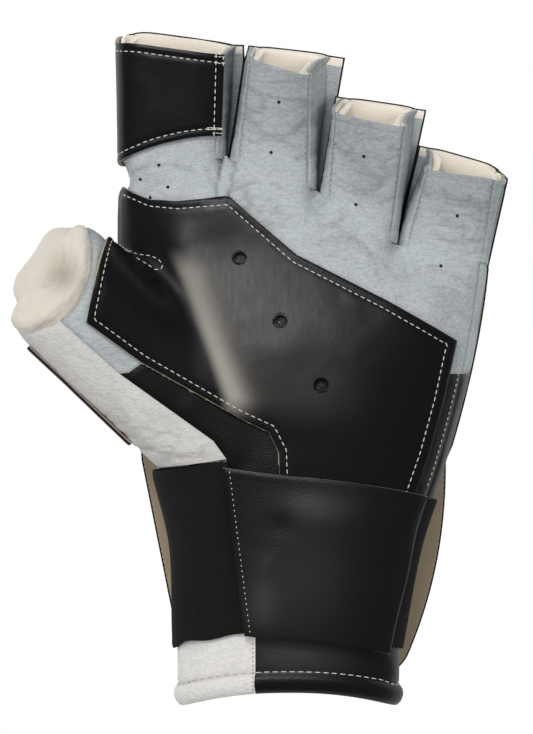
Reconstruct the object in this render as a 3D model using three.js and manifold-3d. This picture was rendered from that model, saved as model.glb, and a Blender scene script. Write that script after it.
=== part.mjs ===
// A left-hand rifle-shooting glove with half-length fingers, lying on its stiff back with the palm up.
// Millimetres. X runs across the hand to the little finger, Y from the cuff to the fingertips, Z up
// through the palm. The origin is on the surface that the glove lies on, under the middle of the hand.
import * as THREE from "three";
import { mergeVertices } from "three/addons/utils/BufferGeometryUtils.js";
import Module from "manifold-3d";

const wasm = await Module();
wasm.setup();

// Thickness of the leathers and linings, and the clearance between neighbouring pieces
const LEATHER = 1.2;
const PAD_LEATHER = 1.8;
const SHELL_LEATHER = 2.2;
const SHELL_LINING = 0.8;
const STALL_FLEECE = 2.4;
const HAND_FLEECE = 3.2;
const PALM_FOAM = 1.8;
const CLEARANCE = 0.3;
const WRAP_CLEARANCE = 0.5;

// Half-length finger stalls. The base is the height of the knuckle crease, and the front and back are
// the lengths of the palm side and the back. Tip is the width at the mouth. Lean shifts the back of the
// mouth sideways, flare makes it wider than the front, and slant tilts the rim.
const INDEX = {
  width: 34, tip: 39.5, heading: 1, base: 70, front: 36.5, back: 42.5, top: 26.5,
  lean: 1.8, flare: 0.08, slant: -0.1,
};
const MIDDLE = {
  width: 29.5, tip: 26.5, heading: 6.5, base: 60, front: 40.5, back: 47, top: 28.8,
  lean: 2.4, flare: 0.13, slant: -0.17,
};
const RING = {
  width: 26.5, tip: 28.5, heading: 8.5, base: 44, front: 39, back: 46, top: 28.6,
  lean: 2.2, flare: 0, slant: -0.06,
};
const LITTLE = {
  width: 31, tip: 28, heading: 12, base: 38.5, front: 27, back: 33.5, top: 25.8,
  lean: 0.7, flare: 0.08, slant: 0.08,
};
const KNUCKLE_LEFT = -47;
const FINGER_GAP = 1;
const FINGER_RISE = 7;
const FINGER_TIP_DEPTH = 22;
const FINGER_POWER = 4;
const GRIP_PATCH_LENGTH = 28;
const GRIP_PATCH_DROP = 9;
const FINGER_RISE_SHARE = 0.3;
const CORNER = 45;
const SEAM_ANGLE = 1.2;
const PATCH_WRAP_ANGLE = -118;
const LINING_RECESS = 0.8;

// The hand form that the leather is cut to: its edges and heights at five stations from cuff to knuckles
const CUFF_END = -111;
const CUFF = { along: -92, left: -28.5, right: 46.5, bottom: 8, waist: 25, top: 41.5 };
const WRIST = { along: -58, left: -32, right: 53, bottom: 7.5, waist: 24, top: 41.5 };
const HEEL = { along: -30, left: -37, right: 62, bottom: 6, waist: 18, top: 41 };
const PALM = { along: 5, left: -43, right: 71, bottom: 2, waist: 12, top: 39 };
const KNUCKLES = { along: 38, left: KNUCKLE_LEFT, bottom: 2, waist: 11, top: 31.5 };
const CREST_TOP = 28.7;
const DOME_POWER = 2.7;
const WALL_POWER = 7;
const CUFF_POWER = 2.3;

// Thumb: its axis passes beside the origin, heading up and away from the fingers
const THUMB_HEADING = -46;
const THUMB_AXIS_OFFSET = -26.5;
const THUMB_WIDTH = 43;
const THUMB_ROOT = { along: -15, bottom: 3, waist: 20, top: 40.5 };
const THUMB_MIDDLE = { along: 35, bottom: 6, waist: 24, top: 44 };
const THUMB_TIP = { along: 82, bottom: 17, waist: 33, top: 50 };
const THUMB_POWER = 2.8;
const THUMB_FRONT_LENGTH = 59;
const THUMB_BACK_LENGTH = 78;
const THUMB_MOUTH_SLANT = 0.16;
const THUMB_TIP_ROUND = { start: 60, end: 82.5, margin: 1, power: 2.6 };
const THUMB_LIP = 1.6;
const THUMB_COLLAR = 5;
const THUMB_CREASE_TOP = { x: -52.5, y: 46 };
const THUMB_CREASE_LEAN = -0.19;
const THUMB_CROTCH = 36;
const THUMB_STRIP = { from: 16, to: 62, low: -116, high: -80, thickness: 1.6 };
const UNDERSIDE_RISE = 9;
const THENAR_END = -33;
const THENAR_SEAM = [[-47, -1.3], [-16.3, -23.3], [-12, -29.3]];
const THENAR_REACH = { x: -67, y: 60 };
const THENAR_UNDER_AREA = [
  [-36, THENAR_END], [-39, 5], [-42, THUMB_CROTCH], [-90, THUMB_CROTCH], [-90, THENAR_END],
];

// Grip pad: the corners of its knuckle edge and of its edge along the thumb, and three vent holes
const PAD_INSET = 8.5;
const PAD_SHOULDER = 9.7;
const PAD_LOW_END = -45;
const PAD_TOP_EDGE = [
  [-52, 45], [-54, 60], [-46, 61], [-37.3, 57], [-28.3, 56], [-11, 57.3], [11.2, 37.8], [40.5, 22.7],
];
const PAD_THUMB_EDGE = [
  [6, PAD_LOW_END], [5.3, -27], [2, -20.3], [-8, -15.7], [-19.7, -9], [-40, 2.7], [-57.7, 15.7],
];
const PALM_SIDE_Z = 14;
const HEEL_SIDE_Z = 22;
const VENT_DIAMETER = 5.2;
const VENT_FIRST = { x: -7.7, y: 36.8 };
const VENT_PITCH = { x: 13.4, y: -21 };
const VENT_COUNT = 3;
const FOAM_INSET = 6;

// Seams of the hand leather
const SIDE_SEAM_INSET = 3.2;
const CUFF_SEAM = -52;

// Wrist: elastic, closing strap and its hook-and-loop tapes
const ELASTIC = 1.4;
const STRAP_LEATHER = 1.6;
const TAPE = 0.8;
const STRAP_SEAM = { topX: -10.5, topY: -32, lowX: -3.5, lowY: -87 };
const STRAP_TOP_DROP = 10;
const STRAP_LOW_DROP = 6.5;
const STRAP_OVERLAP = 2;
const STRAP_END_INSET = 4.5;
const LOOP_TAPE_END_ANGLE = 118;
const TAPE_WIDTH_ANGLE = 24;
const TAPE_MARGIN = 1.5;
const ELASTIC_LOW_DROP = 4;
const ELASTIC_END_ANGLE = -150;
const CUFF_COLOUR_SEAM = -2.5;
const CUFF_BACK_SEAM_ANGLE = -160;
const HEM_WIDTH = 9;
const HEM_BULGE = 1.3;
const CUFF_EASE = 0.8;
const CUFF_ARCH = 4;

// Back shell: how far it stands out past the hand, and the wrist tongue that narrows to rounded corners
const SHELL_MARGIN = 1.2;
const TONGUE = { start: -31, end: -106, left: -41.5, right: 62.5, leftTaper: 15, rightTaper: 17, corner: 9 };
const TONGUE_BEND = 2.2;
const TONGUE_CROWDING = 1.6;

// Facets
const HAND_COLUMNS = 32;
const HAND_ROW = 16;
const THUMB_COLUMNS = 20;
const THUMB_ROW = 16;
const HOLE_SIDES = 14;
const STALL_FRONT_COLUMNS = 6;
const STALL_SIDE_COLUMNS = 4;
const STALL_LINING_COLUMNS = 20;
const STALL_ROWS = 4;
const WRAP_COLUMNS = 12;
const WRAP_ROWS = 6;
const TAPE_COLUMNS = 8;
const STRIP_STEPS = 5;
const CUFF_ROWS = 12;
const BLACK_CUFF_COLUMNS = 18;
const CUFF_LINING_COLUMNS = 28;
const TONGUE_STEPS = 12;
const TIP_STEPS = 14;
const SHELL_STEPS = 6;
const MITRE_LIMIT = 0.4;

const FAR = 400;
const HALF_TURN = 180;
const BACK_Z = SHELL_LEATHER + SHELL_LINING + 2 * CLEARANCE;

const COLOURS = {
  grey: { color: 0xb0bdc2, roughness: 0.75 },
  black: { color: 0x141417, roughness: 0.5 },
  grip: { color: 0x0f0f12, roughness: 0.3 },
  white: { color: 0xe4e2dc, roughness: 0.7 },
  fleece: { color: 0xefe9dc, roughness: 0.95 },
  suede: { color: 0x8c7c62, roughness: 0.95 },
  foam: { color: 0x8b8d8f, roughness: 0.9 },
  web: { color: 0x17171a, roughness: 0.9 },
};

const group = new THREE.Group();

function addPiece(name, shape, finish) {
  const geometry = shape.isBufferGeometry ? shape : toGeometry(shape);
  const material = new THREE.MeshStandardMaterial({ ...COLOURS[finish], metalness: 0 });
  const mesh = new THREE.Mesh(geometry, material);
  mesh.name = name;
  group.add(mesh);
}

function toSolid(geometry) {
  const bare = geometry.clone();
  bare.deleteAttribute("normal");
  bare.deleteAttribute("uv");
  const merged = mergeVertices(bare);
  const mesh = new wasm.Mesh({
    numProp: 3,
    vertProperties: new Float32Array(merged.attributes.position.array),
    triVerts: new Uint32Array(merged.index.array),
  });
  return new wasm.Manifold(mesh);
}

function toGeometry(solid) {
  const { vertProperties, triVerts } = solid.getMesh();
  const geometry = new THREE.BufferGeometry();
  geometry.setAttribute("position", new THREE.BufferAttribute(vertProperties, 3));
  geometry.setIndex(new THREE.BufferAttribute(triVerts, 1));
  return geometry;
}

function meshOf(points, faces) {
  const geometry = new THREE.BufferGeometry().setFromPoints(points);
  geometry.setIndex(faces);
  return geometry;
}

// A solid bounded by rings of points that run anticlockwise seen from the last ring
function ringSolid(rings) {
  const count = rings[0].length;
  const points = rings.flat();
  const faces = [];
  for (let row = 0; row + 1 < rings.length; row += 1) {
    for (let column = 0; column < count; column += 1) {
      const a = row * count + column;
      const b = row * count + (column + 1) % count;
      faces.push(a, b, b + count, a, b + count, a + count);
    }
  }
  const last = points.length - count;
  const middle = (ring) => ring.reduce((sum, p) => sum.add(p), new THREE.Vector3()).divideScalar(count);
  const first = points.push(middle(rings[0])) - 1;
  const top = points.push(middle(rings[rings.length - 1])) - 1;
  for (let column = 0; column < count; column += 1) {
    const next = (column + 1) % count;
    faces.push(first, next, column, top, last + column, last + next);
  }
  return meshOf(points, faces);
}

// A sheet between two grids of points that share their edges' layout
function sheetSolid(outer, inner) {
  const rows = outer.length;
  const columns = outer[0].length;
  const points = [...outer.flat(), ...inner.flat()];
  const shift = rows * columns;
  const faces = [];
  const quad = (a, b, c, d) => faces.push(a, b, c, a, c, d);
  for (let row = 0; row + 1 < rows; row += 1) {
    for (let column = 0; column + 1 < columns; column += 1) {
      const a = row * columns + column;
      quad(a, a + 1, a + columns + 1, a + columns);
      quad(a + shift, a + columns + shift, a + columns + 1 + shift, a + 1 + shift);
    }
  }
  const edge = (a, b) => quad(a, a + shift, b + shift, b);
  for (let column = 0; column + 1 < columns; column += 1) {
    edge(column, column + 1);
    edge((rows - 1) * columns + column + 1, (rows - 1) * columns + column);
  }
  for (let row = 0; row + 1 < rows; row += 1) {
    edge((row + 1) * columns, row * columns);
    edge(row * columns + columns - 1, (row + 1) * columns + columns - 1);
  }
  return meshOf(points, faces);
}

// A straight-sided block over an outline of plan points
function prism(outline, low = -FAR, high = FAR) {
  const shape = new THREE.Shape(outline.map(([x, y]) => new THREE.Vector2(x, y)));
  const block = new THREE.ExtrudeGeometry(shape, { depth: high - low, bevelEnabled: false, steps: 1 });
  return toSolid(block.translate(0, 0, low));
}

// The narrow cut that a seam between two pieces leaves, along a line of plan points
function seamCut(line) {
  const sides = [[], []];
  line.forEach(([x, y], i) => {
    const [ax, ay] = line[Math.max(i - 1, 0)];
    const [bx, by] = line[Math.min(i + 1, line.length - 1)];
    const length = Math.hypot(bx - ax, by - ay);
    const across = CLEARANCE / 2 / length;
    sides[0].push([x - (by - ay) * across, y + (bx - ax) * across]);
    sides[1].push([x + (by - ay) * across, y - (bx - ax) * across]);
  });
  return prism([...sides[0], ...sides[1].reverse()]);
}

function above(z) {
  return prism([[-FAR, -FAR], [FAR, -FAR], [FAR, FAR], [-FAR, FAR]], z, FAR);
}

const mix = (a, b, t) => a + (b - a) * t;
const value = (v, ...at) => (typeof v === "function" ? v(...at) : v);
const signedPower = (v, power) => Math.sign(v) * Math.abs(v) ** power;
const radians = THREE.MathUtils.degToRad;

// A rounded tube along a straight plan axis. Each station gives the edges to the left and right of the
// axis and the heights of the back, the widest line and the palm side.
class Form {
  constructor({ x, y, heading, stations, dome, wall }) {
    Object.assign(this, { x, y, stations, dome, wall });
    this.along = [Math.sin(radians(heading)), Math.cos(radians(heading))];
    this.lean = 0;
    this.flare = 0;
    this.length = 1;
  }

  at(along) {
    const list = this.stations;
    const first = list[0].along;
    const last = list[list.length - 1].along;
    const here = Math.min(Math.max(along, first), last);
    const i = list.slice(1, -1).filter((s) => s.along < here).length;
    const [a, b] = [list[i], list[i + 1]];
    const t = (here - a.along) / (b.along - a.along);
    const slope = (k, key) => {
      const p = list[Math.max(k - 1, 0)];
      const q = list[Math.min(k + 1, list.length - 1)];
      return (q[key] - p[key]) / (q.along - p.along) * (b.along - a.along);
    };
    const result = {};
    for (const key of ["left", "right", "bottom", "waist", "top"]) {
      const m = slope(i, key);
      const n = slope(i + 1, key);
      const rise = b[key] - a[key];
      result[key] = a[key] + m * t + (3 * rise - 2 * m - n) * t * t + (m + n - 2 * rise) * t ** 3;
    }
    return result;
  }

  place(across, along, z) {
    const [dx, dy] = this.along;
    return new THREE.Vector3(this.x + along * dx + across * dy, this.y + along * dy - across * dx, z);
  }

  // The point at an angle round the section, 0 at the palm side and 90 at the right, at an offset outwards
  point(angle, along, offset) {
    const s = this.at(along);
    const sine = Math.sin(radians(angle));
    const cosine = Math.cos(radians(angle));
    const power = value(cosine >= 0 ? this.dome : this.wall, along);
    const half = (s.right - s.left) / 2 + offset;
    const rise = (cosine >= 0 ? s.top - s.waist : s.waist - s.bottom) + offset;
    const height = signedPower(cosine, 2 / power);
    const share = Math.max(along, 0) / this.length;
    const width = half * (1 - this.flare * share * height);
    const across = (s.left + s.right) / 2 - this.lean * share * height + width * signedPower(sine, 2 / power);
    return this.place(across, along, s.waist + rise * height);
  }

  // The angle on the palm side whose point lies a given distance to the right of the axis
  angleAt(across, along, offset = 0) {
    const s = this.at(along);
    const share = (across - (s.left + s.right) / 2) / ((s.right - s.left) / 2 + offset);
    const power = value(this.dome, along);
    return THREE.MathUtils.radToDeg(Math.asin(signedPower(THREE.MathUtils.clamp(share, -1, 1), power / 2)));
  }

  volume(offset, from, to, columns, step) {
    const rows = Math.max(1, Math.round((to - from) / step));
    const rings = [];
    for (let row = 0; row <= rows; row += 1) {
      const along = mix(from, to, row / rows);
      const ring = [];
      for (let column = 0; column < columns; column += 1) {
        ring.push(this.point(column / columns * 2 * HALF_TURN, along, offset));
      }
      rings.push(ring);
    }
    return toSolid(ringSolid(rings));
  }

  // A panel between two angles and two distances along, with its inner and outer offsets
  panel({ from, to, start, end, inner, outer, columns, rows }) {
    const grid = (offset) => {
      const lines = [];
      for (let row = 0; row <= rows; row += 1) {
        const line = [];
        for (let column = 0; column <= columns; column += 1) {
          const share = column / columns;
          const nominal = mix(value(from, value(start, 0)), value(to, value(start, 0)), share);
          const along = mix(value(start, nominal), value(end, nominal), row / rows);
          const angle = mix(value(from, along), value(to, along), share);
          line.push(this.point(angle, along, value(offset, along, nominal)));
        }
        lines.push(line);
      }
      return lines;
    };
    return sheetSolid(grid(outer), grid(inner));
  }
}

// A closed sleeve between two offsets of a form
function sleeve(form, { start, end, inner, outer, columns, rows }) {
  const rings = [];
  const addRing = (share, offset) => {
    const ring = [];
    for (let column = 0; column < columns; column += 1) {
      const angle = column / columns * 2 * HALF_TURN;
      ring.push(form.point(angle, mix(value(start, angle), value(end, angle), share), offset));
    }
    rings.push(ring);
  };
  for (let row = 0; row <= rows; row += 1) addRing(row / rows, outer);
  for (let row = rows; row >= 0; row -= 1) addRing(row / rows, inner);
  const faces = [];
  rings.forEach((ring, row) => {
    const next = (row + 1) % rings.length * columns;
    ring.forEach((point, column) => {
      const side = (column + 1) % columns;
      const a = row * columns + column;
      const b = row * columns + side;
      faces.push(a, b, next + side, a, next + side, next + column);
    });
  });
  return meshOf(rings.flat(), faces);
}

// The finger stalls stand side by side from the index to the little finger
const LINING_OUT = -(LEATHER + CLEARANCE);
const STALL_INSIDE = LINING_OUT - STALL_FLEECE;

function fingerForm(size, left) {
  const x = left + size.width / 2 * Math.cos(radians(size.heading));
  const base = { along: 0, left: -size.width / 2, right: size.width / 2, bottom: CLEARANCE, top: size.top };
  const tip = {
    along: size.back, left: -size.tip / 2, right: size.tip / 2,
    bottom: FINGER_RISE, top: FINGER_RISE + FINGER_TIP_DEPTH,
  };
  const middle = { along: size.back / 2 };
  for (const key of ["left", "right", "top"]) middle[key] = (base[key] + tip[key]) / 2;
  middle.bottom = mix(base.bottom, tip.bottom, FINGER_RISE_SHARE);
  const stations = [base, middle, tip];
  for (const s of stations) s.waist = (s.bottom + s.top) / 2;
  const form = new Form({
    x, y: size.base, heading: size.heading, stations, dome: FINGER_POWER, wall: FINGER_POWER,
  });
  form.lean = size.lean;
  form.flare = size.flare;
  form.length = size.back;
  return form;
}

const fingers = {};
let nextLeft = KNUCKLE_LEFT;
for (const [name, size] of Object.entries({ index: INDEX, middle: MIDDLE, ring: RING, little: LITTLE })) {
  const form = fingerForm(size, nextLeft);
  fingers[name] = { size, form };
  nextLeft = form.place(size.width / 2, 0, 0).x + FINGER_GAP;
}
const KNUCKLE_RIGHT = nextLeft - FINGER_GAP;

function rim(size, recess = 0) {
  return (angle) => {
    const height = signedPower(Math.cos(radians(angle)), 2 / FINGER_POWER);
    const side = signedPower(Math.sin(radians(angle)), 2 / FINGER_POWER);
    return mix(size.back, size.front, (height + 1) / 2) + size.slant * size.tip / 2 * side - recess;
  };
}

function addStall(name, sides) {
  const { size, form } = fingers[name];
  const start = CLEARANCE / 2;
  for (const { label, from, to, finish, columns } of sides) {
    const panel = form.panel({
      from: from + SEAM_ANGLE, to: to - SEAM_ANGLE, start, end: rim(size),
      inner: -LEATHER, outer: 0, columns, rows: STALL_ROWS,
    });
    addPiece(`${name}_${label}`, panel, finish);
  }
  const lining = sleeve(form, {
    start, end: rim(size, LINING_RECESS), inner: STALL_INSIDE, outer: LINING_OUT,
    columns: STALL_LINING_COLUMNS, rows: STALL_ROWS,
  });
  addPiece(`${name}_lining`, lining, "fleece");
}

const frontSide = {
  label: "front_leather", from: -CORNER, to: CORNER, finish: "grey", columns: STALL_FRONT_COLUMNS,
};
const rightSide = {
  label: "right_gusset", from: CORNER, to: 3 * CORNER, finish: "grey", columns: STALL_SIDE_COLUMNS,
};
const backSide = {
  label: "back_leather", from: 3 * CORNER, to: 5 * CORNER, finish: "black", columns: STALL_FRONT_COLUMNS,
};
const leftSide = { ...rightSide, label: "left_gusset", from: -3 * CORNER, to: -CORNER };

addStall("index", [{ ...frontSide, from: -3 * CORNER, columns: WRAP_COLUMNS }, rightSide, backSide]);
addStall("middle", [frontSide, leftSide, rightSide, backSide]);
addStall("ring", [frontSide, leftSide, rightSide, backSide]);
addStall("little", [frontSide, leftSide, { ...rightSide, label: "outer_gusset" }, backSide]);

function gripPatch() {
  const { size, form } = fingers.index;
  const reach = CORNER - PATCH_WRAP_ANGLE;
  const lowEdge = (angle) => {
    const turn = Math.sin(radians((CORNER - angle) / reach * HALF_TURN / 2));
    return size.front - GRIP_PATCH_LENGTH - GRIP_PATCH_DROP * turn ** 2;
  };
  return form.panel({
    from: PATCH_WRAP_ANGLE, to: CORNER - SEAM_ANGLE, start: lowEdge, end: rim(size),
    inner: CLEARANCE, outer: CLEARANCE + PAD_LEATHER, columns: WRAP_COLUMNS, rows: STALL_ROWS,
  });
}
addPiece("index_grip_patch", gripPatch(), "grip");

// Hand and thumb forms, joined into one body at any offset
const cuffBlend = (along) => THREE.MathUtils.smoothstep(along, WRIST.along, PALM.along);
const knuckles = { ...KNUCKLES, right: KNUCKLE_RIGHT };
const hand = new Form({
  x: 0, y: 0, heading: 0,
  stations: [CUFF, WRIST, HEEL, PALM, knuckles, { ...knuckles, along: INDEX.base, top: CREST_TOP }],
  dome: (along) => mix(CUFF_POWER, DOME_POWER, cuffBlend(along)),
  wall: (along) => mix(CUFF_POWER, WALL_POWER, cuffBlend(along)),
});
const thumbSides = {
  left: THUMB_AXIS_OFFSET - THUMB_WIDTH / 2,
  right: THUMB_AXIS_OFFSET + THUMB_WIDTH / 2,
};
const thumb = new Form({
  x: 0, y: 0, heading: THUMB_HEADING,
  stations: [THUMB_ROOT, THUMB_MIDDLE, THUMB_TIP].map((s) => ({ ...s, ...thumbSides })),
  dome: THUMB_POWER, wall: THUMB_POWER,
});

const bodies = new Map();
function body(offset) {
  if (!bodies.has(offset)) {
    const end = THENAR_END - offset;
    const trim = prism([[-FAR, end], [FAR, end], [FAR, FAR], [-FAR, FAR]]);
    const palm = hand.volume(offset, WRIST.along - HAND_ROW, INDEX.base + HAND_ROW, HAND_COLUMNS, HAND_ROW);
    const thumbEnd = THUMB_TIP.along + THUMB_ROW;
    const stall = thumb.volume(offset, THUMB_ROOT.along, thumbEnd, THUMB_COLUMNS, THUMB_ROW);
    bodies.set(offset, palm.add(stall.intersect(trim)));
  }
  return bodies.get(offset);
}
const layer = (inner, outer) => body(outer).subtract(body(inner));

// A block across the thumb, its outline given by distance along the thumb and height; a slant shears it
function thumbBlock(outline, slant = 0) {
  const shape = new THREE.Shape(outline.map(([along, z]) => new THREE.Vector2(along, z)));
  const block = new THREE.ExtrudeGeometry(shape, { depth: 2 * FAR, bevelEnabled: false, steps: 1 });
  const [dx, dy] = thumb.along;
  const basis = new THREE.Matrix4().makeBasis(
    new THREE.Vector3(dx, dy, 0), new THREE.Vector3(0, 0, 1),
    new THREE.Vector3(dy + slant * dx, slant * dy - dx, 0),
  );
  return toSolid(block.translate(0, 0, -FAR).applyMatrix4(basis));
}

function lineAt([x0, y0], [x1, y1], x) {
  return y0 + (y1 - y0) * (x - x0) / (x1 - x0);
}

// What lies behind the slanting mouth of the thumb stall
function behindMouth(collar = 0) {
  const along = (z) => collar - THUMB_MOUTH_SLANT * THUMB_AXIS_OFFSET + lineAt(
    [THUMB_TIP.top, THUMB_FRONT_LENGTH], [THUMB_TIP.bottom, THUMB_BACK_LENGTH], z,
  );
  const outline = [[-2 * FAR, -FAR], [along(-FAR), -FAR], [along(FAR), FAR], [-2 * FAR, FAR]];
  return thumbBlock(outline, THUMB_MOUTH_SLANT);
}

// The rounded plan of the thumb's end, moved back from where the lining ends
function roundedTip(back = 0) {
  const half = THUMB_WIDTH / 2 + THUMB_TIP_ROUND.margin;
  const reach = THUMB_TIP_ROUND.end - THUMB_TIP_ROUND.start;
  const outline = [[half, -FAR], [-half, -FAR]];
  for (let i = 0; i <= TIP_STEPS; i += 1) {
    const turn = Math.PI * i / TIP_STEPS;
    const across = -half * signedPower(Math.cos(turn), 2 / THUMB_TIP_ROUND.power);
    const ahead = reach * signedPower(Math.sin(turn), 2 / THUMB_TIP_ROUND.power);
    outline.push([across, THUMB_TIP_ROUND.start - back + ahead + THUMB_MOUTH_SLANT * across]);
  }
  return prism(outline.map(([across, along]) => {
    const p = thumb.place(THUMB_AXIS_OFFSET + across, along, 0);
    return [p.x, p.y];
  }));
}

// What lies above or below the seam along the underside of the thumb
const seamHeight = (along) => lineAt(
  [THUMB_MIDDLE.along, THUMB_MIDDLE.bottom + UNDERSIDE_RISE],
  [THUMB_TIP.along, THUMB_TIP.bottom + UNDERSIDE_RISE], along,
);
const overUnderside = () => thumbBlock([
  [-FAR, seamHeight(-FAR) + CLEARANCE], [FAR, seamHeight(FAR) + CLEARANCE], [FAR, FAR * 2], [-FAR, FAR * 2],
]);
const belowUnderside = () => thumbBlock([
  [-FAR, -FAR * 2], [FAR, -FAR * 2], [FAR, seamHeight(FAR)], [-FAR, seamHeight(-FAR)],
]);

// The crease that the thumb flexes about parts it from the hand
const creaseX = (y) => THUMB_CREASE_TOP.x + THUMB_CREASE_LEAN * (THUMB_CREASE_TOP.y - y);
const creaseSide = (side, end) => {
  const gap = side * CLEARANCE / 2;
  const reach = side * 2 * FAR;
  return prism([[creaseX(-FAR) + gap, -FAR], [creaseX(end) + gap, end], [reach, end], [reach, -FAR]]);
};
const handSide = creaseSide(1, FAR);
const thumbSide = creaseSide(-1, INDEX.base);

// Plan lines of the seams
const sideSeamX = (y) => hand.at(y).right - SIDE_SEAM_INSET;
const sideSeam = [];
for (let y = CUFF_SEAM; y <= LITTLE.base; y += HAND_ROW) sideSeam.unshift([sideSeamX(y), y]);
const stepLine = Object.values(fingers).flatMap(({ size, form }) => [-1, 1].map((side) => {
  const p = form.place(side * size.width / 2, -CLEARANCE / 2, 0);
  return [p.x, p.y];
}));
const thenarFar = [THENAR_SEAM[0][0] + THENAR_REACH.x, THENAR_SEAM[0][1] + THENAR_REACH.y];
const thenarLine = [thenarFar, ...THENAR_SEAM, [THENAR_SEAM[2][0], THENAR_END - CLEARANCE]];
const heelStart = THENAR_SEAM[0];
const heelLine = [heelStart, [FAR, heelStart[1]]];
const sideLine = [[sideSeamX(FAR), FAR], ...sideSeam, [sideSeamX(-FAR), -FAR]];

const palmRegion = [
  [thenarFar[0], stepLine[0][1]], ...stepLine, [FAR, stepLine[7][1]], [FAR, heelStart[1]],
  heelStart, thenarFar,
];
const heelRegion = [
  ...thenarLine.slice(1), [-FAR, THENAR_END - CLEARANCE], [-FAR, CUFF_SEAM], [FAR, CUFF_SEAM],
  [FAR, heelStart[1]],
];
const thenarRegion = [
  thenarFar, ...THENAR_SEAM, [THENAR_SEAM[2][0], THENAR_END], [-FAR, THENAR_END], [-FAR, thenarFar[1]],
];
const insideSeam = prism([[-FAR, -FAR], ...[...sideLine].reverse(), [-FAR, FAR]]);
const outsideSeam = prism([...sideLine, [FAR, -FAR], [FAR, FAR]]);

const seams = seamCut(thenarLine).add(seamCut(heelLine)).add(seamCut(sideLine));
const leather = layer(-LEATHER, 0).subtract(seams);
const handLeather = leather.intersect(handSide);
const overBack = above(BACK_Z);
const indexWall = prism([[-FAR, THUMB_CROTCH], [0, THUMB_CROTCH], [0, FAR], [-FAR, FAR]], BACK_Z, FAR);
const palmSide = above(PALM_SIDE_Z);

const vents = [];
for (let i = 0; i < VENT_COUNT; i += 1) {
  const hole = new THREE.CylinderGeometry(VENT_DIAMETER / 2, VENT_DIAMETER / 2, FAR, HOLE_SIDES);
  hole.rotateX(Math.PI / 2);
  hole.translate(VENT_FIRST.x + i * VENT_PITCH.x, VENT_FIRST.y + i * VENT_PITCH.y, FAR / 2 + PALM_SIDE_Z);
  vents.push(toSolid(hole));
}
const ventHoles = vents.reduce((all, hole) => all.add(hole));

const palmLeather = handLeather.intersect(prism(palmRegion)).intersect(insideSeam)
  .intersect(palmSide.add(indexWall)).intersect(overUnderside().add(indexWall)).subtract(ventHoles);
addPiece("palm_leather", palmLeather, "grey");
const sideWall = handLeather.intersect(outsideSeam).intersect(overBack);
addPiece("palm_side_wall", sideWall.intersect(prism(palmRegion)), "grey");
addPiece("heel_side_wall", sideWall.intersect(prism(heelRegion)), "black");
addPiece("heel_leather", handLeather.intersect(prism(heelRegion)).intersect(insideSeam)
  .intersect(above(HEEL_SIDE_Z)).subtract(ventHoles), "black");
addPiece("thenar_leather", handLeather.intersect(prism(thenarRegion)).intersect(overUnderside()), "white");

// Grip pad over the palm and up the thumb, and the foam cushion under the palm leather
const padRight = (y) => hand.at(y).right - PAD_INSET;
const padOutline = [
  ...PAD_TOP_EDGE, [padRight(PAD_SHOULDER), PAD_SHOULDER], [padRight(PAD_LOW_END), PAD_LOW_END],
  ...PAD_THUMB_EDGE,
];
// An outline moved inwards, each corner along the line that keeps both of its edges parallel
function inset(outline, distance) {
  const points = outline.map(([x, y]) => new THREE.Vector2(x, y));
  const turn = Math.sign(THREE.ShapeUtils.area(points));
  return points.map((point, i) => {
    const before = points[(i + points.length - 1) % points.length];
    const after = points[(i + 1) % points.length];
    const into = point.clone().sub(before).normalize();
    const out = after.clone().sub(point).normalize();
    const normal = new THREE.Vector2(-into.y - out.y, into.x + out.x).normalize();
    const share = Math.max(normal.dot(new THREE.Vector2(-into.y, into.x)), MITRE_LIMIT);
    const moved = point.clone().addScaledVector(normal, turn * distance / share);
    return [moved.x, moved.y];
  });
}
const gripLayer = layer(CLEARANCE, CLEARANCE + PAD_LEATHER);
addPiece("palm_grip_pad", gripLayer.intersect(handSide).intersect(prism(padOutline)).intersect(palmSide)
  .subtract(ventHoles), "grip");
const foamOutline = inset(padOutline, FOAM_INSET);
addPiece("palm_foam", layer(LINING_OUT - PALM_FOAM, LINING_OUT).intersect(handSide)
  .intersect(prism(foamOutline)).intersect(palmSide), "foam");
const foamPocket = layer(LINING_OUT - PALM_FOAM - CLEARANCE, 0)
  .intersect(prism(inset(padOutline, FOAM_INSET - 2 * CLEARANCE))).intersect(above(PALM_SIDE_Z - CLEARANCE));

// Fleece lining of the hand and of the thumb
const lining = layer(LINING_OUT - HAND_FLEECE, LINING_OUT);
const handArea = prism([
  [-FAR, CUFF_SEAM], [FAR, CUFF_SEAM], [FAR, stepLine[7][1]], ...[...stepLine].reverse(),
  [-FAR, stepLine[0][1]],
]);
addPiece("hand_lining", lining.intersect(handSide).intersect(handArea).intersect(overBack)
  .subtract(foamPocket), "fleece");
const thumbEnd = behindMouth().intersect(roundedTip(THUMB_LIP));
const thumbLayer = leather.intersect(thumbSide).intersect(thumbEnd);
addPiece("thumb_side_leather", thumbLayer.intersect(prism(thenarRegion)).intersect(overUnderside()), "white");
addPiece("thumb_front_leather", thumbLayer.intersect(prism(palmRegion)).intersect(overUnderside()), "grey");
addPiece("thumb_underside", layer(-LEATHER, 0).intersect(thumbSide).intersect(thumbEnd)
  .intersect(belowUnderside()), "black");
addPiece("thumb_lining", lining.intersect(thumbSide).intersect(behindMouth(THUMB_COLLAR))
  .intersect(roundedTip()), "fleece");
addPiece("thumb_back_strip", thumb.panel({
  from: THUMB_STRIP.low, to: THUMB_STRIP.high, start: THUMB_STRIP.from, end: THUMB_STRIP.to,
  inner: CLEARANCE, outer: CLEARANCE + THUMB_STRIP.thickness,
  columns: STRIP_STEPS, rows: STRIP_STEPS,
}), "black");
const thenarUnder = layer(-LEATHER, 0).intersect(handSide).intersect(belowUnderside()).intersect(overBack)
  .intersect(prism(THENAR_UNDER_AREA));
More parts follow.
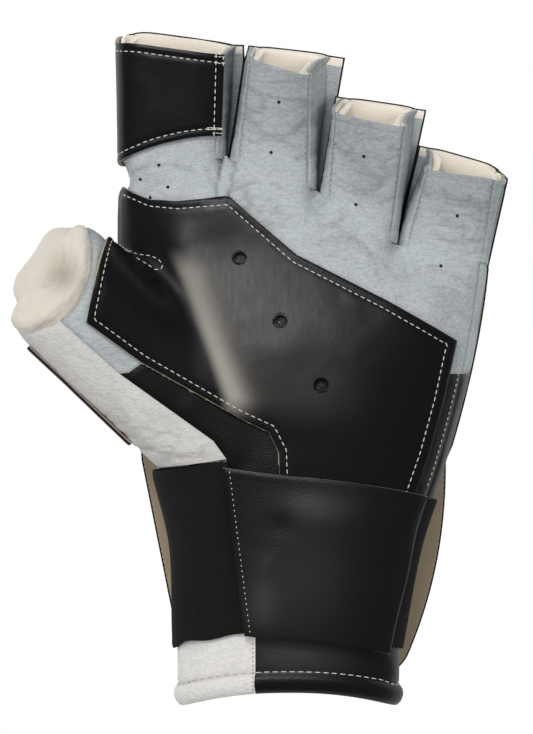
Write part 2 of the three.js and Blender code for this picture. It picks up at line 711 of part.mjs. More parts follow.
addPiece("thenar_underside", thenarUnder, "black");

// Wrist: elastic on the thumb side, the strap that is sewn to it, and the tapes under the strap's free end
const seamX = (y) => lineAt([STRAP_SEAM.topY, STRAP_SEAM.topX], [STRAP_SEAM.lowY, STRAP_SEAM.lowX], y);
const strapInner = CLEARANCE + PAD_LEATHER + WRAP_CLEARANCE;
const strapOuter = strapInner + STRAP_LEATHER;
const strapFrom = (y) => hand.angleAt(seamX(y) - STRAP_OVERLAP, y, strapInner);
const strapTo = (y) => hand.angleAt(hand.at(y).right - STRAP_END_INSET, y, strapInner);
const strapMiddle = (STRAP_SEAM.topY + STRAP_SEAM.lowY) / 2;
const strapReach = strapTo(strapMiddle) - strapFrom(strapMiddle);
const strapShare = (angle) => (angle - strapFrom(strapMiddle)) / strapReach;
const strapLowEdge = (angle) => STRAP_SEAM.lowY - STRAP_LOW_DROP * strapShare(angle);
addPiece("wrist_elastic", hand.panel({
  from: ELASTIC_END_ANGLE, to: (y) => hand.angleAt(seamX(y), y),
  start: STRAP_SEAM.lowY - ELASTIC_LOW_DROP, end: THENAR_END - 2 * CLEARANCE,
  inner: WRAP_CLEARANCE, outer: WRAP_CLEARANCE + ELASTIC, columns: WRAP_COLUMNS, rows: WRAP_ROWS,
}), "web");
addPiece("wrist_strap", hand.panel({
  from: strapFrom, to: strapTo, start: strapLowEdge,
  end: (angle) => STRAP_SEAM.topY - STRAP_TOP_DROP * strapShare(angle),
  inner: strapInner, outer: strapOuter, columns: WRAP_COLUMNS, rows: WRAP_ROWS,
}), "black");
const tapeTop = CUFF_SEAM - TAPE_MARGIN;
addPiece("strap_loop_tape", hand.panel({
  from: (y) => strapTo(y) - TAPE_WIDTH_ANGLE, to: LOOP_TAPE_END_ANGLE,
  start: STRAP_SEAM.lowY - STRAP_LOW_DROP, end: tapeTop,
  inner: WRAP_CLEARANCE, outer: WRAP_CLEARANCE + TAPE, columns: TAPE_COLUMNS, rows: STRIP_STEPS,
}), "web");
addPiece("strap_hook_tape", hand.panel({
  from: (y) => strapTo(y) - TAPE_WIDTH_ANGLE, to: (y) => strapTo(y) - TAPE_MARGIN,
  start: STRAP_SEAM.lowY - STRAP_LOW_DROP + TAPE_MARGIN, end: tapeTop - TAPE_MARGIN,
  inner: WRAP_CLEARANCE + CLEARANCE + TAPE, outer: strapInner - CLEARANCE,
  columns: STRIP_STEPS, rows: STRIP_STEPS,
}), "web");

// Cuff: a white and a black panel with a rolled hem, arched over the palm side, round a fleece lining
const cuffTop = CUFF_SEAM - CLEARANCE;
const colourSeam = (y) => hand.angleAt(CUFF_COLOUR_SEAM, y);
const cuffEnd = (angle) => CUFF_END + CUFF_ARCH * Math.max(Math.cos(radians(angle)), 0) ** 2;
const hem = (along, angle) => {
  const share = (along - cuffEnd(angle)) / HEM_WIDTH;
  return share < 1 ? HEM_BULGE * Math.sin(share * Math.PI) : 0;
};
const cuffPanel = { start: cuffEnd, end: cuffTop, inner: -LEATHER, outer: hem, rows: CUFF_ROWS };
addPiece("cuff_white_panel", hand.panel({
  ...cuffPanel, from: CUFF_BACK_SEAM_ANGLE, to: (y) => colourSeam(y) - SEAM_ANGLE / 2, columns: WRAP_COLUMNS,
}), "white");
addPiece("cuff_black_panel", hand.panel({
  ...cuffPanel, from: colourSeam, to: CUFF_BACK_SEAM_ANGLE + 2 * HALF_TURN - SEAM_ANGLE / 2,
  columns: BLACK_CUFF_COLUMNS,
}), "black");
addPiece("cuff_lining", sleeve(hand, {
  start: (angle) => cuffEnd(angle) + LINING_RECESS, end: cuffTop,
  inner: -(LEATHER + CUFF_EASE + STALL_FLEECE), outer: -(LEATHER + CUFF_EASE),
  columns: CUFF_LINING_COLUMNS, rows: WRAP_ROWS,
}), "fleece");

// Stiff back shell with its wrist tongue, and the suede that lines it
function shellOutline() {
  const tongueRight = [];
  const tongueLeft = [];
  for (let i = 0; i <= TONGUE_STEPS; i += 1) {
    const down = 1 - (1 - i / TONGUE_STEPS) ** TONGUE_CROWDING;
    const y = mix(TONGUE.start, TONGUE.end, down);
    const under = Math.max(TONGUE.corner - (y - TONGUE.end), 0);
    const round = TONGUE.corner - Math.sqrt(TONGUE.corner ** 2 - under ** 2);
    tongueRight.push([TONGUE.right - TONGUE.rightTaper * down ** TONGUE_BEND - round, y]);
    tongueLeft.unshift([TONGUE.left + TONGUE.leftTaper * down + round, y]);
  }
  const rightEdge = [];
  const leftEdge = [];
  for (let i = 0; i < SHELL_STEPS; i += 1) {
    const down = mix(stepLine[7][1], HEEL.along, i / SHELL_STEPS);
    rightEdge.push([hand.at(down).right + SHELL_MARGIN, down]);
    const up = mix(PALM.along, stepLine[0][1], i / SHELL_STEPS);
    leftEdge.push([hand.at(up).left - SHELL_MARGIN, up]);
  }
  return [...stepLine, ...rightEdge, ...tongueRight, ...tongueLeft, ...leftEdge];
}
const shell = shellOutline();
addPiece("back_shell", prism(shell, 0, SHELL_LEATHER), "black");
const suedeLow = SHELL_LEATHER + CLEARANCE;
addPiece("shell_suede", prism(inset(shell, SHELL_MARGIN), suedeLow, suedeLow + SHELL_LINING), "suede");

export default group;
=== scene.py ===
"""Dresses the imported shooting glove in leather, fleece, elastic and thread, and sets it in a plain studio."""
import copy
import math
from collections import namedtuple

import bmesh
import bpy
import numpy as np
from bpy.props import FloatProperty, FloatVectorProperty, PointerProperty
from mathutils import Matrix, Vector
from mathutils.bvhtree import BVHTree
from mathutils.kdtree import KDTree


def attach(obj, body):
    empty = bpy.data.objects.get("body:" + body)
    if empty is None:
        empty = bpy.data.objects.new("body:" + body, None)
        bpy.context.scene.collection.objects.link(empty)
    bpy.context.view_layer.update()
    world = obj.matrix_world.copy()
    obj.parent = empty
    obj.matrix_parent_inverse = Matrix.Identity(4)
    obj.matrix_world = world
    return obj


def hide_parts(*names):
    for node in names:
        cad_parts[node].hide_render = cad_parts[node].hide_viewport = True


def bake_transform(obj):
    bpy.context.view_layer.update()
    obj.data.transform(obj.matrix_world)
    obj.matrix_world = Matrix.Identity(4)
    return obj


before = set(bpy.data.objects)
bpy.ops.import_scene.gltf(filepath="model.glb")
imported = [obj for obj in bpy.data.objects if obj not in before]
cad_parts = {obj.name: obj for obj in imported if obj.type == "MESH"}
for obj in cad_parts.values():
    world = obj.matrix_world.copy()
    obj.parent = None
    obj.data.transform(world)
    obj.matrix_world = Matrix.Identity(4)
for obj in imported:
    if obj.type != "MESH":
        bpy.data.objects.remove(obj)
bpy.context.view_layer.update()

bl_info = {
    "name": "Shooting glove",
    "version": (1, 0, 0),
    "blender": (4, 5, 0),
    "location": "View3D > Sidebar > Glove",
    "description": "Leathers, linings, wrist and stitching of a half-finger shooting glove",
    "category": "Object",
}

# Plan and form of the glove, in millimetres, as the solids have them
MM = 0.001
FAR = 400.0
LEATHER = 1.2
PAD_LEATHER = 1.8
CLEARANCE = 0.3
STALL_FLEECE = 2.4
BACK_Z = 3.6
THENAR_END = -33.0
CUFF_SEAM = -52.0
CUFF_END = -111.0
CUFF_ARCH = 5.5
CUFF_ARCH_BEHIND = 3.6
CUFF_HEM = 6.6
CUFF_ROLL = 1.4
CUFF_SPLIT = -2.5
INDEX_BASE = 70.0
SKIN_VOXEL = 1.0
PALM_FLOOR = 14.0
SIDE_SEAM = 3.2
PAD_MARGIN = 8.5
STITCH_INSET = 2.4
HEM_ROW = 2.1

# Each finger's stall: its form, the slant of its rim, how far the edge of its soft back stands beyond that
# and slants more, and its outer side
Stall = namedtuple("Stall", "width tip heading base front back top lean flare slant beyond more outer")
FINGERS = {
    "index": Stall(34.0, 38.5, 2.2, 70.0, 36.5, 42.5, 26.5, 1.0, 0.08, -0.1, 0.9, 0.0, -1),
    "middle": Stall(29.5, 26.5, 6.5, 60.0, 40.5, 47.0, 28.8, 2.4, 0.13, -0.17, 2.4, 0.17, 0),
    "ring": Stall(26.5, 28.5, 8.5, 44.0, 39.0, 46.0, 28.6, 2.2, 0.0, -0.06, 1.9, 0.06, 0),
    "little": Stall(31.0, 28.0, 12.0, 38.5, 27.0, 33.5, 25.8, 0.7, 0.08, 0.08, 1.5, -0.16, 1),
}
FINGER_POWER = 4.0
KNUCKLE_LEFT = -47.0
FINGER_GAP = 1.0
STALL_GAP = 0.15
RIM_BOTTOM = 7.0
RIM_TOP = 29.0
BACK_CORNER = 0.84
OUTER_LIP = 1.1
LIP_GAP = -0.04
LIP_BLACK = 0.6
LIP_EDGE = 0.08
LIP_LINED = 3.6
SLIT_DIP = 2.2
SLIT_CLOSE = 0.6
LINING_POWER = 4.7
LINING_CROWN = 0.7
CORNER_DIP = 2.5
CORNER_FALL = 2.1
CORNER_TUCK = 0.8
# Where seam lips narrow to a share of their width at the rim, and where one reaches on under its neighbour
LIP_TAPER = {("index", -1): 0.3, ("index", 1): 0.4, ("middle", -1): 0.4}
LIP_UNDER = {("index", 1): (0.3, 0.0), ("middle", 1): (0.7, 0.35)}
# The index patch: its length at its right edge, how much longer its wrapped side is, and the bend between
PATCH_LENGTH = 28.0
PATCH_DROP = 9.8
PATCH_BEND = 1.8
PATCH_ROW = 30.0
# How far each finger's left and right gussets are folded in at the rim
GUSSET_FOLDS = {"index": (0.0, 2.2), "middle": (0.8, 4.0), "ring": (0.8, 3.4), "little": (3.0, 0.0)}

# Where the slits between the fingers end, with the outer ends of the knuckle line
KNUCKLE_LINE = [(-50.0, 70.0), (-13.0, 70.8), (17.3, 60.4), (44.3, 42.0), (78.0, 35.0)]
KNUCKLE_FADE = 17.0
PLEAT = [(-11.5, 70.0), (-13.7, 57.7)]
VALLEY = 5.5

THUMB_HEADING = -46.0
THUMB_CENTRE = -26.5
THUMB_HALF = 21.5
THUMB_POWER = 2.8
THUMB_MOUTH = ((50.0, 59.0), (17.0, 78.0))
THUMB_MOUTH_SLANT = 0.16
MOUTH_BOW = 8.5
MOUTH_DIP = 2.2
THUMB_COLLAR = 5.0
THUMB_TIP_ROUND = (60.0, 82.5, 22.5, 2.6)
TIP_BACK = 1.6
SLEEVE_DEPTH = 1.6
UNDERSIDE_SEAM = ((35.0, 15.0), (82.0, 26.0))
CREASE_TOP = (-52.5, 46.0)
CREASE_LEAN = -0.19
THUMB_VALLEY = [(-46.0, 38.0), (-31.0, 14.0), (-14.0, -14.0)]

GREY_END = [(-20.0, -1.3), (-30.0, 4.0), (-37.0, 4.0), (-41.5, 0.8), (-44.0, -0.9)]
GREY_SPLIT = [(-34.0, -FAR), (-34.0, 2.0), (-36.0, 8.0), (-46.0, 20.0), (-48.0, 42.0)]
THENAR_SEAM = [(-114.0, 58.7), (-47.0, -1.3), (-16.3, -23.3), (-12.0, -29.3)]
PAD_EDGE = [
    (-52.0, 45.0), (-54.0, 60.0), (-46.0, 61.0), (-37.3, 57.0), (-28.3, 56.0), (-11.0, 57.3),
    (11.2, 37.8), (40.5, 22.7),
]
PAD_THUMB_EDGE = [
    (6.0, -45.0), (5.3, -27.0), (2.0, -20.3), (-8.0, -15.7), (-19.7, -9.0), (-40.0, 2.7), (-57.7, 15.7),
]
VENTS = [(-7.7, 36.8), (5.7, 15.8), (19.1, -5.2)]
VENT_RADIUS = 2.6
THENAR_RIDGE = [(-27.5, 41.0), (-22.7, 28.0), (-17.0, 10.0), (-9.5, -10.0)]

# The lip of the thumb: its dent along, across and over the thumb, and lifts at distances back from its tip
LIP_DENT = (68.6, -22.9, 42.0)
LIP_TILT = math.radians(30.0)
LIP_SWELL = 3.4
LIP_DEPTH = 3.4
LIP_OUTSIDE = (
    (0.0, 0.1), (0.6, 0.8), (1.8, 1.3), (3.2, 1.4), (4.6, 1.0), (5.6, 0.3), (7.0, 0.0), (14.0, 0.0),
    (26.0, 0.0), (46.0, 0.0),
)
STRIP_ENDS = (14.6, 61.2)

STRAP_TOP = (-10.5, -32.0)
STRAP_LOW = (-3.5, -87.0)
STRAP_INNER = 2.6
STRAP_LEATHER = 1.6
TAPE_SPAN = 24.0
# The wrist tongue of the shell: its start and end along the hand, its left and right, and its corner radius
TONGUE = (-31.0, -106.0, -41.5, 62.5, 9.0)
SHELL_LAYER = (0.0, 2.2)
SUEDE_LAYER = (2.5, 3.3)

# Colour of the sheen painted on the black strap and cuff
PAINTED_SHEEN = (0.034, 0.034, 0.035, 1.0)
FLOOR_Z = -0.0002
FLOOR_HALF = 3
# The middle of the picture on the floor, and the height at which its length is measured
VIEW_CENTRE = (1.17 * MM, 1.0 * MM)
VIEW_PLANE = 0.026


def mix(a, b, t):
    return a + (b - a) * t


def clipped(value):
    return np.clip(value, 0.0, 1.0)


def smooth(low, high, value):
    t = clipped((value - low) / (high - low))
    return t * t * (3.0 - 2.0 * t)


def signed_power(value, power):
    return np.sign(value) * np.abs(value) ** power


def on_line(first, second, at):
    return first[1] + (second[1] - first[1]) * (at - first[0]) / (second[0] - first[0])


def bell(value, middle, width):
    """A soft rise to 1 at a middle, falling off over a width on each side."""
    return np.exp(-((value - middle) / width) ** 2)


def spot(points, across, along):
    """A soft rise to 1 at a place in plan, given by a middle and a width across and along."""
    x, y = points[:, 0], points[:, 1]
    return np.exp(-(((x - across[0]) / across[1]) ** 2 + ((y - along[0]) / along[1]) ** 2))


def value_noise(points, size, seed):
    """Smooth noise from -1 to 1 over points, with features about as long as size."""
    scaled = np.asarray(points, float) / size + 37.0
    cell = np.floor(scaled).astype(np.int64)
    part = scaled - cell
    part = part * part * (3.0 - 2.0 * part)
    total = np.zeros(len(scaled))
    for corner in range(8):
        step = np.array([corner & 1, corner >> 1 & 1, corner >> 2 & 1])
        key = (cell + step) @ np.array([374761393, 668265263, 1440662683]) + seed * 97531
        key = (key ^ (key >> 13)) * 1274126177
        key = (key ^ (key >> 16)) & 0xFFFF
        weight = np.prod(np.where(step == 1, part, 1.0 - part), axis=1)
        total += weight * (key / 32767.5 - 1.0)
    return total


class Form:
    """A rounded tube along a straight plan axis, with rows of along, left, right, bottom, waist and top."""

    def __init__(self, x, y, heading, stations, dome, wall, lean=0.0, flare=0.0, length=1.0):
        turn = math.radians(heading)
        self.origin = np.array([x, y])
        self.along = np.array([math.sin(turn), math.cos(turn)])
        self.right = np.array([math.cos(turn), -math.sin(turn)])
        self.stations = np.array(stations, float)
        self.dome = dome
        self.wall = wall
        self.lean = lean
        self.flare = flare
        self.length = length

    def at(self, along):
        rows = self.stations
        keys = rows[:, 0]
        last = len(keys) - 1
        here = np.clip(along, keys[0], keys[-1])
        i = np.clip(np.searchsorted(keys, here) - 1, 0, last - 1)
        before = np.maximum(i - 1, 0)
        after = np.minimum(i + 2, last)
        span = (keys[i + 1] - keys[i])[..., None]
        t = (here - keys[i])[..., None] / span
        rise = rows[i + 1] - rows[i]
        first = (rows[i + 1] - rows[before]) / (keys[i + 1] - keys[before])[..., None] * span
        second = (rows[after] - rows[i]) / (keys[after] - keys[i])[..., None] * span
        bend = (3 * rise - 2 * first - second) * t ** 2 + (first + second - 2 * rise) * t ** 3
        return np.moveaxis(rows[i] + first * t + bend, -1, 0)[1:]

    def place(self, across, along, z):
        plan = self.origin + along[..., None] * self.along + across[..., None] * self.right
        return np.concatenate([plan, z[..., None]], axis=-1)

    def point(self, angle, along, offset=0.0):
        angle, along, offset = np.broadcast_arrays(np.asarray(angle, float), along, offset)
        left, right, bottom, waist, top = self.at(along)
        sine = np.sin(np.radians(angle))
        cosine = np.cos(np.radians(angle))
        power = np.where(cosine >= 0, self.dome(along), self.wall(along))
        rise = np.where(cosine >= 0, top - waist, waist - bottom) + offset
        height = signed_power(cosine, 2 / power)
        share = np.maximum(along, 0.0) / self.length
        width = ((right - left) / 2 + offset) * (1 - self.flare * share * height)
        across = (left + right) / 2 - self.lean * share * height + width * signed_power(sine, 2 / power)
        return self.place(across, along, waist + rise * height)

    def angle_at(self, across, along, offset=0.0):
        left, right = self.at(along)[:2]
        share = np.clip((across - (left + right) / 2) / ((right - left) / 2 + offset), -1.0, 1.0)
        return np.degrees(np.arcsin(signed_power(share, self.dome(along) / 2)))

    def height(self, plan):
        """The height of the palm side over plan points, or of the widest line beside them."""
        away = plan - self.origin
        along = away @ self.along
        across = away @ self.right
        left, right, _, waist, top = self.at(along)
        share = np.maximum(along, 0.0) / self.length
        middle = (left + right) / 2 - self.lean * share
        half = (right - left) / 2 * (1 - self.flare * share)
        power = self.dome(along)
        reach = clipped(np.abs(across - middle) / half)
        return waist + (top - waist) * (1 - reach ** power) ** (1 / power)


def constant(value):
    return lambda along: np.full(np.shape(along), value)


def finger_form(size, left):
    x = left + size.width / 2 * math.cos(math.radians(size.heading))
    rows = []
    low = mix(CLEARANCE, RIM_BOTTOM, 0.3)
    for along, half, bottom, crown in (
        (0.0, size.width / 2, CLEARANCE, size.top),
        (size.back / 2, (size.width + size.tip) / 4, low, (size.top + RIM_TOP) / 2),
        (size.back, size.tip / 2, RIM_BOTTOM, RIM_TOP),
    ):
        rows.append((along, -half, half, bottom, (bottom + crown) / 2, crown))
    power = constant(FINGER_POWER)
    return Form(x, size.base, size.heading, rows, power, power, size.lean, size.flare, size.back)


def make_forms():
    forms = {}
    left = KNUCKLE_LEFT
    for name, size in FINGERS.items():
        forms[name] = finger_form(size, left)
        edge = forms[name].place(np.array(size.width / 2), np.array(0.0), np.array(0.0))
        left = edge[0] + FINGER_GAP
    right = left - FINGER_GAP
    rows = [
        (-92, -28.5, 45.6, 8, 25, 41.5), (-58, -29.8, 52.2, 7.5, 24, 41.5), (-30, -36.2, 62, 6, 18, 41),
        (5, -43, 71, 2, 12, 39), (38, KNUCKLE_LEFT, right, 2, 11, 31.5),
        (INDEX_BASE, KNUCKLE_LEFT, right, 2, 11, 28.7),
    ]

    def dome(along):
        return mix(2.3, 2.7, smooth(-58.0, 5.0, along))

    def wall(along):
        return mix(2.3, 7.0, smooth(-58.0, 5.0, along))

    forms["hand"] = Form(0, 0, 0, rows, dome, wall)
    sides = (THUMB_CENTRE - THUMB_HALF, THUMB_CENTRE + THUMB_HALF)
    rows = [(-15, *sides, 3, 20, 40.5), (35, *sides, 6, 24, 44), (82, *sides, 17, 33, 50)]
    power = constant(THUMB_POWER)
    forms["thumb"] = Form(0, 0, THUMB_HEADING, rows, power, power)
    return forms


FORMS = make_forms()
HAND = FORMS["hand"]
THUMB = FORMS["thumb"]
PIECES = {}


def pad_outline():
    right = [(HAND.at(np.array(y))[1] - PAD_MARGIN, y) for y in (9.7, -10.0, -28.0, -45.0)]
    return [*PAD_EDGE, *right, *PAD_THUMB_EDGE]


def crease_x(y):
    return CREASE_TOP[0] + CREASE_LEAN * (CREASE_TOP[1] - y)


def on_thumb(along, across, z):
    return (*(along * THUMB.along + across * THUMB.right), z)


# Mesh making

def new_mesh(name, points, faces):
    mesh = bpy.data.meshes.new(name)
    mesh.from_pydata((np.asarray(points, float) * MM).tolist(), [], faces)
    mesh.update()
    return mesh


def coordinates(mesh):
    flat = np.zeros(len(mesh.vertices) * 3)
    mesh.vertices.foreach_get("co", flat)
    return flat.reshape(-1, 3) / MM


def set_coordinates(mesh, points):
    mesh.vertices.foreach_set("co", (np.asarray(points) * MM).ravel())
    mesh.update()


def vertex_normals(mesh):
    flat = np.zeros(len(mesh.vertices) * 3)
    mesh.vertex_normals.foreach_get("vector", flat)
    return flat.reshape(-1, 3)


def set_attribute(mesh, name, values):
    layer = mesh.attributes.get(name) or mesh.attributes.new(name, "FLOAT", "POINT")
    layer.data.foreach_set("value", np.asarray(values, np.float32))


def scratch_object(mesh):
    obj = bpy.data.objects.new(mesh.name, mesh)
    bpy.context.scene.collection.objects.link(obj)
    return obj


def take_mesh(obj):
    """The mesh that an object's modifiers give, with the object itself removed."""
    graph = bpy.context.evaluated_depsgraph_get()
    mesh = bpy.data.meshes.new_from_object(obj.evaluated_get(graph))
    bpy.data.objects.remove(obj)
    return mesh


def modified(mesh, kind, **settings):
    """The mesh that one modifier makes of a mesh."""
    obj = scratch_object(mesh)
    change = obj.modifiers.new(kind.lower(), kind)
    for key, value in settings.items():
        setattr(change, key, value)
    return take_mesh(obj)


def opened(mesh):
    shape = bmesh.new()
    shape.from_mesh(mesh)
    return shape


def lift_points(mesh, points, lift):
    """Puts a mesh's points in their places, each lifted along its normal."""
    set_coordinates(mesh, points + vertex_normals(mesh) * lift[:, None])


def ring_faces(rows, columns, closed):
    faces = []
    last = columns if closed else columns - 1
    for row in range(rows - 1):
        for column in range(last):
            a = row * columns + column
            b = row * columns + (column + 1) % columns
            faces.append((a, b, b + columns, a + columns))
    return faces


def tube_mesh(form, start, end, step, columns):
    rows = int(round((end - start) / step)) + 1
    along = np.linspace(start, end, rows)[:, None]
    angles = np.arange(columns) * 360.0 / columns
    points = form.point(angles[None, :], along).reshape(-1, 3)
    faces = ring_faces(rows, columns, True)
    faces.append(tuple(range(columns))[::-1])
    faces.append(tuple(range((rows - 1) * columns, rows * columns)))
    return points, faces


def closed_block(points, faces):
    """A closed mesh with its faces turned outwards."""
    mesh = new_mesh("block", points, faces)
    shaped = opened(mesh)
    bmesh.ops.recalc_face_normals(shaped, faces=shaped.faces)
    shaped.to_mesh(mesh)
    shaped.free()
    return mesh


def prism_mesh(outline, low=-FAR, high=FAR, place=None):
    """A closed straight-sided block over an outline, with its corners placed by a function if given."""
    count = len(outline)
    area = sum(a[0] * b[1] - b[0] * a[1] for a, b in zip(outline, [*outline[1:], outline[0]]))
    ordered = outline if area > 0 else outline[::-1]
    points = [(x, y, low) for x, y in ordered] + [(x, y, high) for x, y in ordered]
    if place:
        points = [place(*p) for p in points]
    faces = [tuple(range(count))[::-1], tuple(range(count, 2 * count))]
    for i in range(count):
        j = (i + 1) % count
        faces.append((i, j, j + count, i + count))
    return closed_block(points, faces)


def side_block(outline):
    """A block across the hand over an outline of distances along it and heights."""
    return prism_mesh(outline, place=lambda y, z, x: (x, y, z))


def over_height(z):
    """A block over a height."""
    return side_block([(-FAR, z), (FAR, z), (FAR, FAR), (-FAR, FAR)])


def mouth_along(across, z):
    """How far along the thumb its leathers end, at a place across it and a height."""
    aside = across - THUMB_CENTRE
    bow = MOUTH_BOW * np.minimum(np.abs(aside / THUMB_HALF), 1.1) ** 2 - MOUTH_DIP
    return on_line(*THUMB_MOUTH, z) + THUMB_MOUTH_SLANT * aside + bow


def behind_mouth():
    """The room behind the curved mouth of the thumb."""
    stations = THUMB_CENTRE + THUMB_HALF * np.concatenate([[-20.0], np.linspace(-1.1, 1.1, 23), [20.0]])
    points = []
    for across in stations:
        low, high = [mouth_along(across, z) for z in (-FAR, FAR)]
        corners = [(-2 * FAR, -FAR), (low, -FAR), (high, FAR), (-2 * FAR, FAR)]
        points += [on_thumb(along, across, z) for along, z in corners]
    last = 4 * (len(stations) - 1)
    ends = [(3, 2, 1, 0), tuple(range(last, last + 4))]
    return closed_block(points, [*ring_faces(len(stations), 4, True), *ends])


def underside_block(side):
    """The room over or below the seam of the thumb's underside."""
    ends = [on_line(*UNDERSIDE_SEAM, s) for s in (-FAR, FAR)]
    outline = [(-FAR, ends[0]), (FAR, ends[1]), (FAR, side * 2 * FAR), (-FAR, side * 2 * FAR)]
    return prism_mesh(outline, place=lambda along, z, across: on_thumb(along, across, z))


def crease_block():
    """The hand's side of the thumb's crease."""
    return prism_mesh([(crease_x(-FAR), -FAR), (crease_x(FAR), FAR), (2 * FAR, FAR), (2 * FAR, -FAR)])


def grey_block(side, end=FAR):
    """One side of the seam under the pad between the grey leathers of the palm and the thumb."""
    reach = side * 2 * FAR
    return prism_mesh([*GREY_SPLIT, CREASE_TOP, (crease_x(end), end), (reach, end), (reach, -FAR)])


def side_seam_block(side):
    rows = np.linspace(-60.0, 60.0, 31)
    line = [(HAND.at(y)[1] - SIDE_SEAM, y) for y in rows]
    line = [(line[0][0], -FAR), *line, (line[-1][0], FAR)]
    return prism_mesh([*line, (side * FAR, FAR), (side * FAR, -FAR)])


def vent_block(centre):
    turns = np.arange(24) * math.tau / 24
    ring = [(centre[0] + VENT_RADIUS * math.cos(t), centre[1] + VENT_RADIUS * math.sin(t)) for t in turns]
    return prism_mesh(ring, PALM_FLOOR)


def cut(mesh, blocks, operation="INTERSECT"):
    """The closed mesh kept inside every block, outside each for a difference, or joined with each."""
    for block in blocks:
        tool = scratch_object(block)
        mesh = modified(mesh, "BOOLEAN", operation=operation, object=tool, solver="MANIFOLD")
        bpy.data.objects.remove(tool)
    return mesh


def relax(mesh, rounds, share):
    """Moves each point towards the mean of its neighbours, by a share given for all or for each."""
    points = coordinates(mesh)
    edges = np.zeros(len(mesh.edges) * 2, int)
    mesh.edges.foreach_get("vertices", edges)
    edges = edges.reshape(-1, 2)
    count = np.bincount(edges.ravel(), minlength=len(points))[:, None]
    for _ in range(rounds):
        total = np.zeros_like(points)
        np.add.at(total, edges[:, 0], points[edges[:, 1]])
        np.add.at(total, edges[:, 1], points[edges[:, 0]])
        points = mix(points, total / count, share)
    set_coordinates(mesh, points)


def line_distance(plan, line):
    """The distance of plan points from a broken line."""
    away = np.full(len(plan), np.inf)
    for first, second in zip(line[:-1], line[1:]):
        start = np.array(first)
        step = np.array(second) - start
        share = clipped((plan - start) @ step / (step @ step))
        away = np.minimum(away, np.linalg.norm(plan - start - share[:, None] * step, axis=1))
    return away


def knuckle_drop(plan):
    """How far plan points lie below the line of the knuckles, towards the wrist."""
    line = np.array(KNUCKLE_LINE)
    return np.interp(plan[:, 0], line[:, 0], line[:, 1]) - plan[:, 1]


def waist_notch(y):
    """How far the side of the hand is drawn in between the pad and the index finger."""
    return 2.0 * bell(y, 63.0, np.where(y > 63.0, 5.0, 2.5))


def slit_dip(points):
    """How far the leather is drawn down round the ends of the slits between the fingers."""
    away = np.min([np.hypot(*(points[:, :2] - end).T) for end in np.array(KNUCKLE_LINE[1:4])], axis=0)
    return SLIT_DIP * bell(away, 0.0, 2.4) * smooth(12.0, 20.0, points[:, 2])


def hand_skin():
    """The outside of the hand and thumb as one closed mesh whose knuckle end meets the finger stalls."""
    points, faces = tube_mesh(HAND, -74.0, 86.0, 2.0, 200)
    more, others = tube_mesh(THUMB, -15.0, 98.0, 2.0, 120)
    more[:, 1] = np.maximum(more[:, 1], THENAR_END)
    shift = len(points)
    faces += [tuple(i + shift for i in face) for face in others]
    mesh = new_mesh("skin", np.concatenate([points, more]), faces)
    mesh = modified(mesh, "REMESH", mode="VOXEL", voxel_size=SKIN_VOXEL * MM)
    relax(mesh, 10, 0.5)
    points = coordinates(mesh)
    beside = line_distance(points[:, :2], THUMB_VALLEY)
    relax(mesh, 160, (0.5 * smooth(17.0, 5.0, beside) * smooth(16.0, 24.0, points[:, 2]))[:, None])
    points = coordinates(mesh)
    normals = vertex_normals(mesh)
    plan = points[:, :2]
    stalls = np.max([FORMS[name].height(plan) for name in FINGERS], axis=0)
    drop = knuckle_drop(plan)
    near = smooth(KNUCKLE_FADE, 0.0, drop) * smooth(0.0, 0.35, normals[:, 2]) * (points[:, 2] > 12.0)
    near *= smooth(-48.5, -44.0, plan[:, 0])
    target = np.maximum(stalls, points[:, 2] - VALLEY)
    points[:, 2] = mix(points[:, 2], target, near)
    points[:, 2] -= slit_dip(points)
    points[:, 0] += waist_notch(points[:, 1]) * smooth(-30.0, -44.0, points[:, 0]) * (points[:, 1] > 50.0)
    set_coordinates(mesh, points)
    layer = mesh.attributes.new("skin", "FLOAT", "FACE")
    layer.data.foreach_set("value", np.ones(len(mesh.polygons), np.float32))
    return mesh


def skin_patch(skin, blocks, holes=()):
    """The open patch of the skin inside every block."""
    mesh = cut(skin.copy(), blocks)
    mesh = cut(mesh, holes, "DIFFERENCE")
    kept = np.zeros(len(mesh.polygons))
    mesh.attributes["skin"].data.foreach_get("value", kept)
    patch = opened(mesh)
    patch.faces.ensure_lookup_table()
    lost = [face for face, keep in zip(patch.faces, kept) if keep < 0.5]
    bmesh.ops.delete(patch, geom=lost, context="FACES")
    bmesh.ops.remove_doubles(patch, verts=patch.verts, dist=0.02 * MM)
    bmesh.ops.triangulate(patch, faces=[face for face in patch.faces if len(face.verts) > 4])
    patch.to_mesh(mesh)
    patch.free()
    mesh.attributes.remove(mesh.attributes["skin"])
    return mesh


def edge_distance(mesh, reach, flush=None):
    """The distance of each point from the patch's edge, up to a reach, without edge points that lie flush."""
    shape = opened(mesh)
    rim = []
    for edge in shape.edges:
        if edge.is_boundary:
            first, second = [v.co for v in edge.verts]
            rim += [first.copy(), second.copy(), (first + second) / 2]
    if flush:
        joined = flush(np.array([tuple(p) for p in rim])[:, :2] / MM)
        rim = [p for p, skip in zip(rim, joined) if not skip]
    tree = KDTree(len(rim))
    for i, place in enumerate(rim):
        tree.insert(place, i)
    tree.balance()
    away = np.array([min(tree.find(v.co)[2] / MM, reach) for v in shape.verts])
    shape.free()
    return away


def rim_directions(mesh):
    """The outward direction along the surface at each edge point of an open patch, and zero elsewhere."""
    out = np.zeros((len(mesh.vertices), 3))
    shape = opened(mesh)
    for edge in shape.edges:
        if edge.is_boundary:
            first, second = edge.verts
            line = (second.co - first.co).normalized()
            away = (first.co + second.co) / 2 - edge.link_faces[0].calc_center_median()
            away = (away - line * away.dot(line)).normalized()
            for corner in edge.verts:
                out[corner.index] += np.array(away)
    shape.free()
    return out / np.maximum(np.linalg.norm(out, axis=1), 1e-9)[:, None]


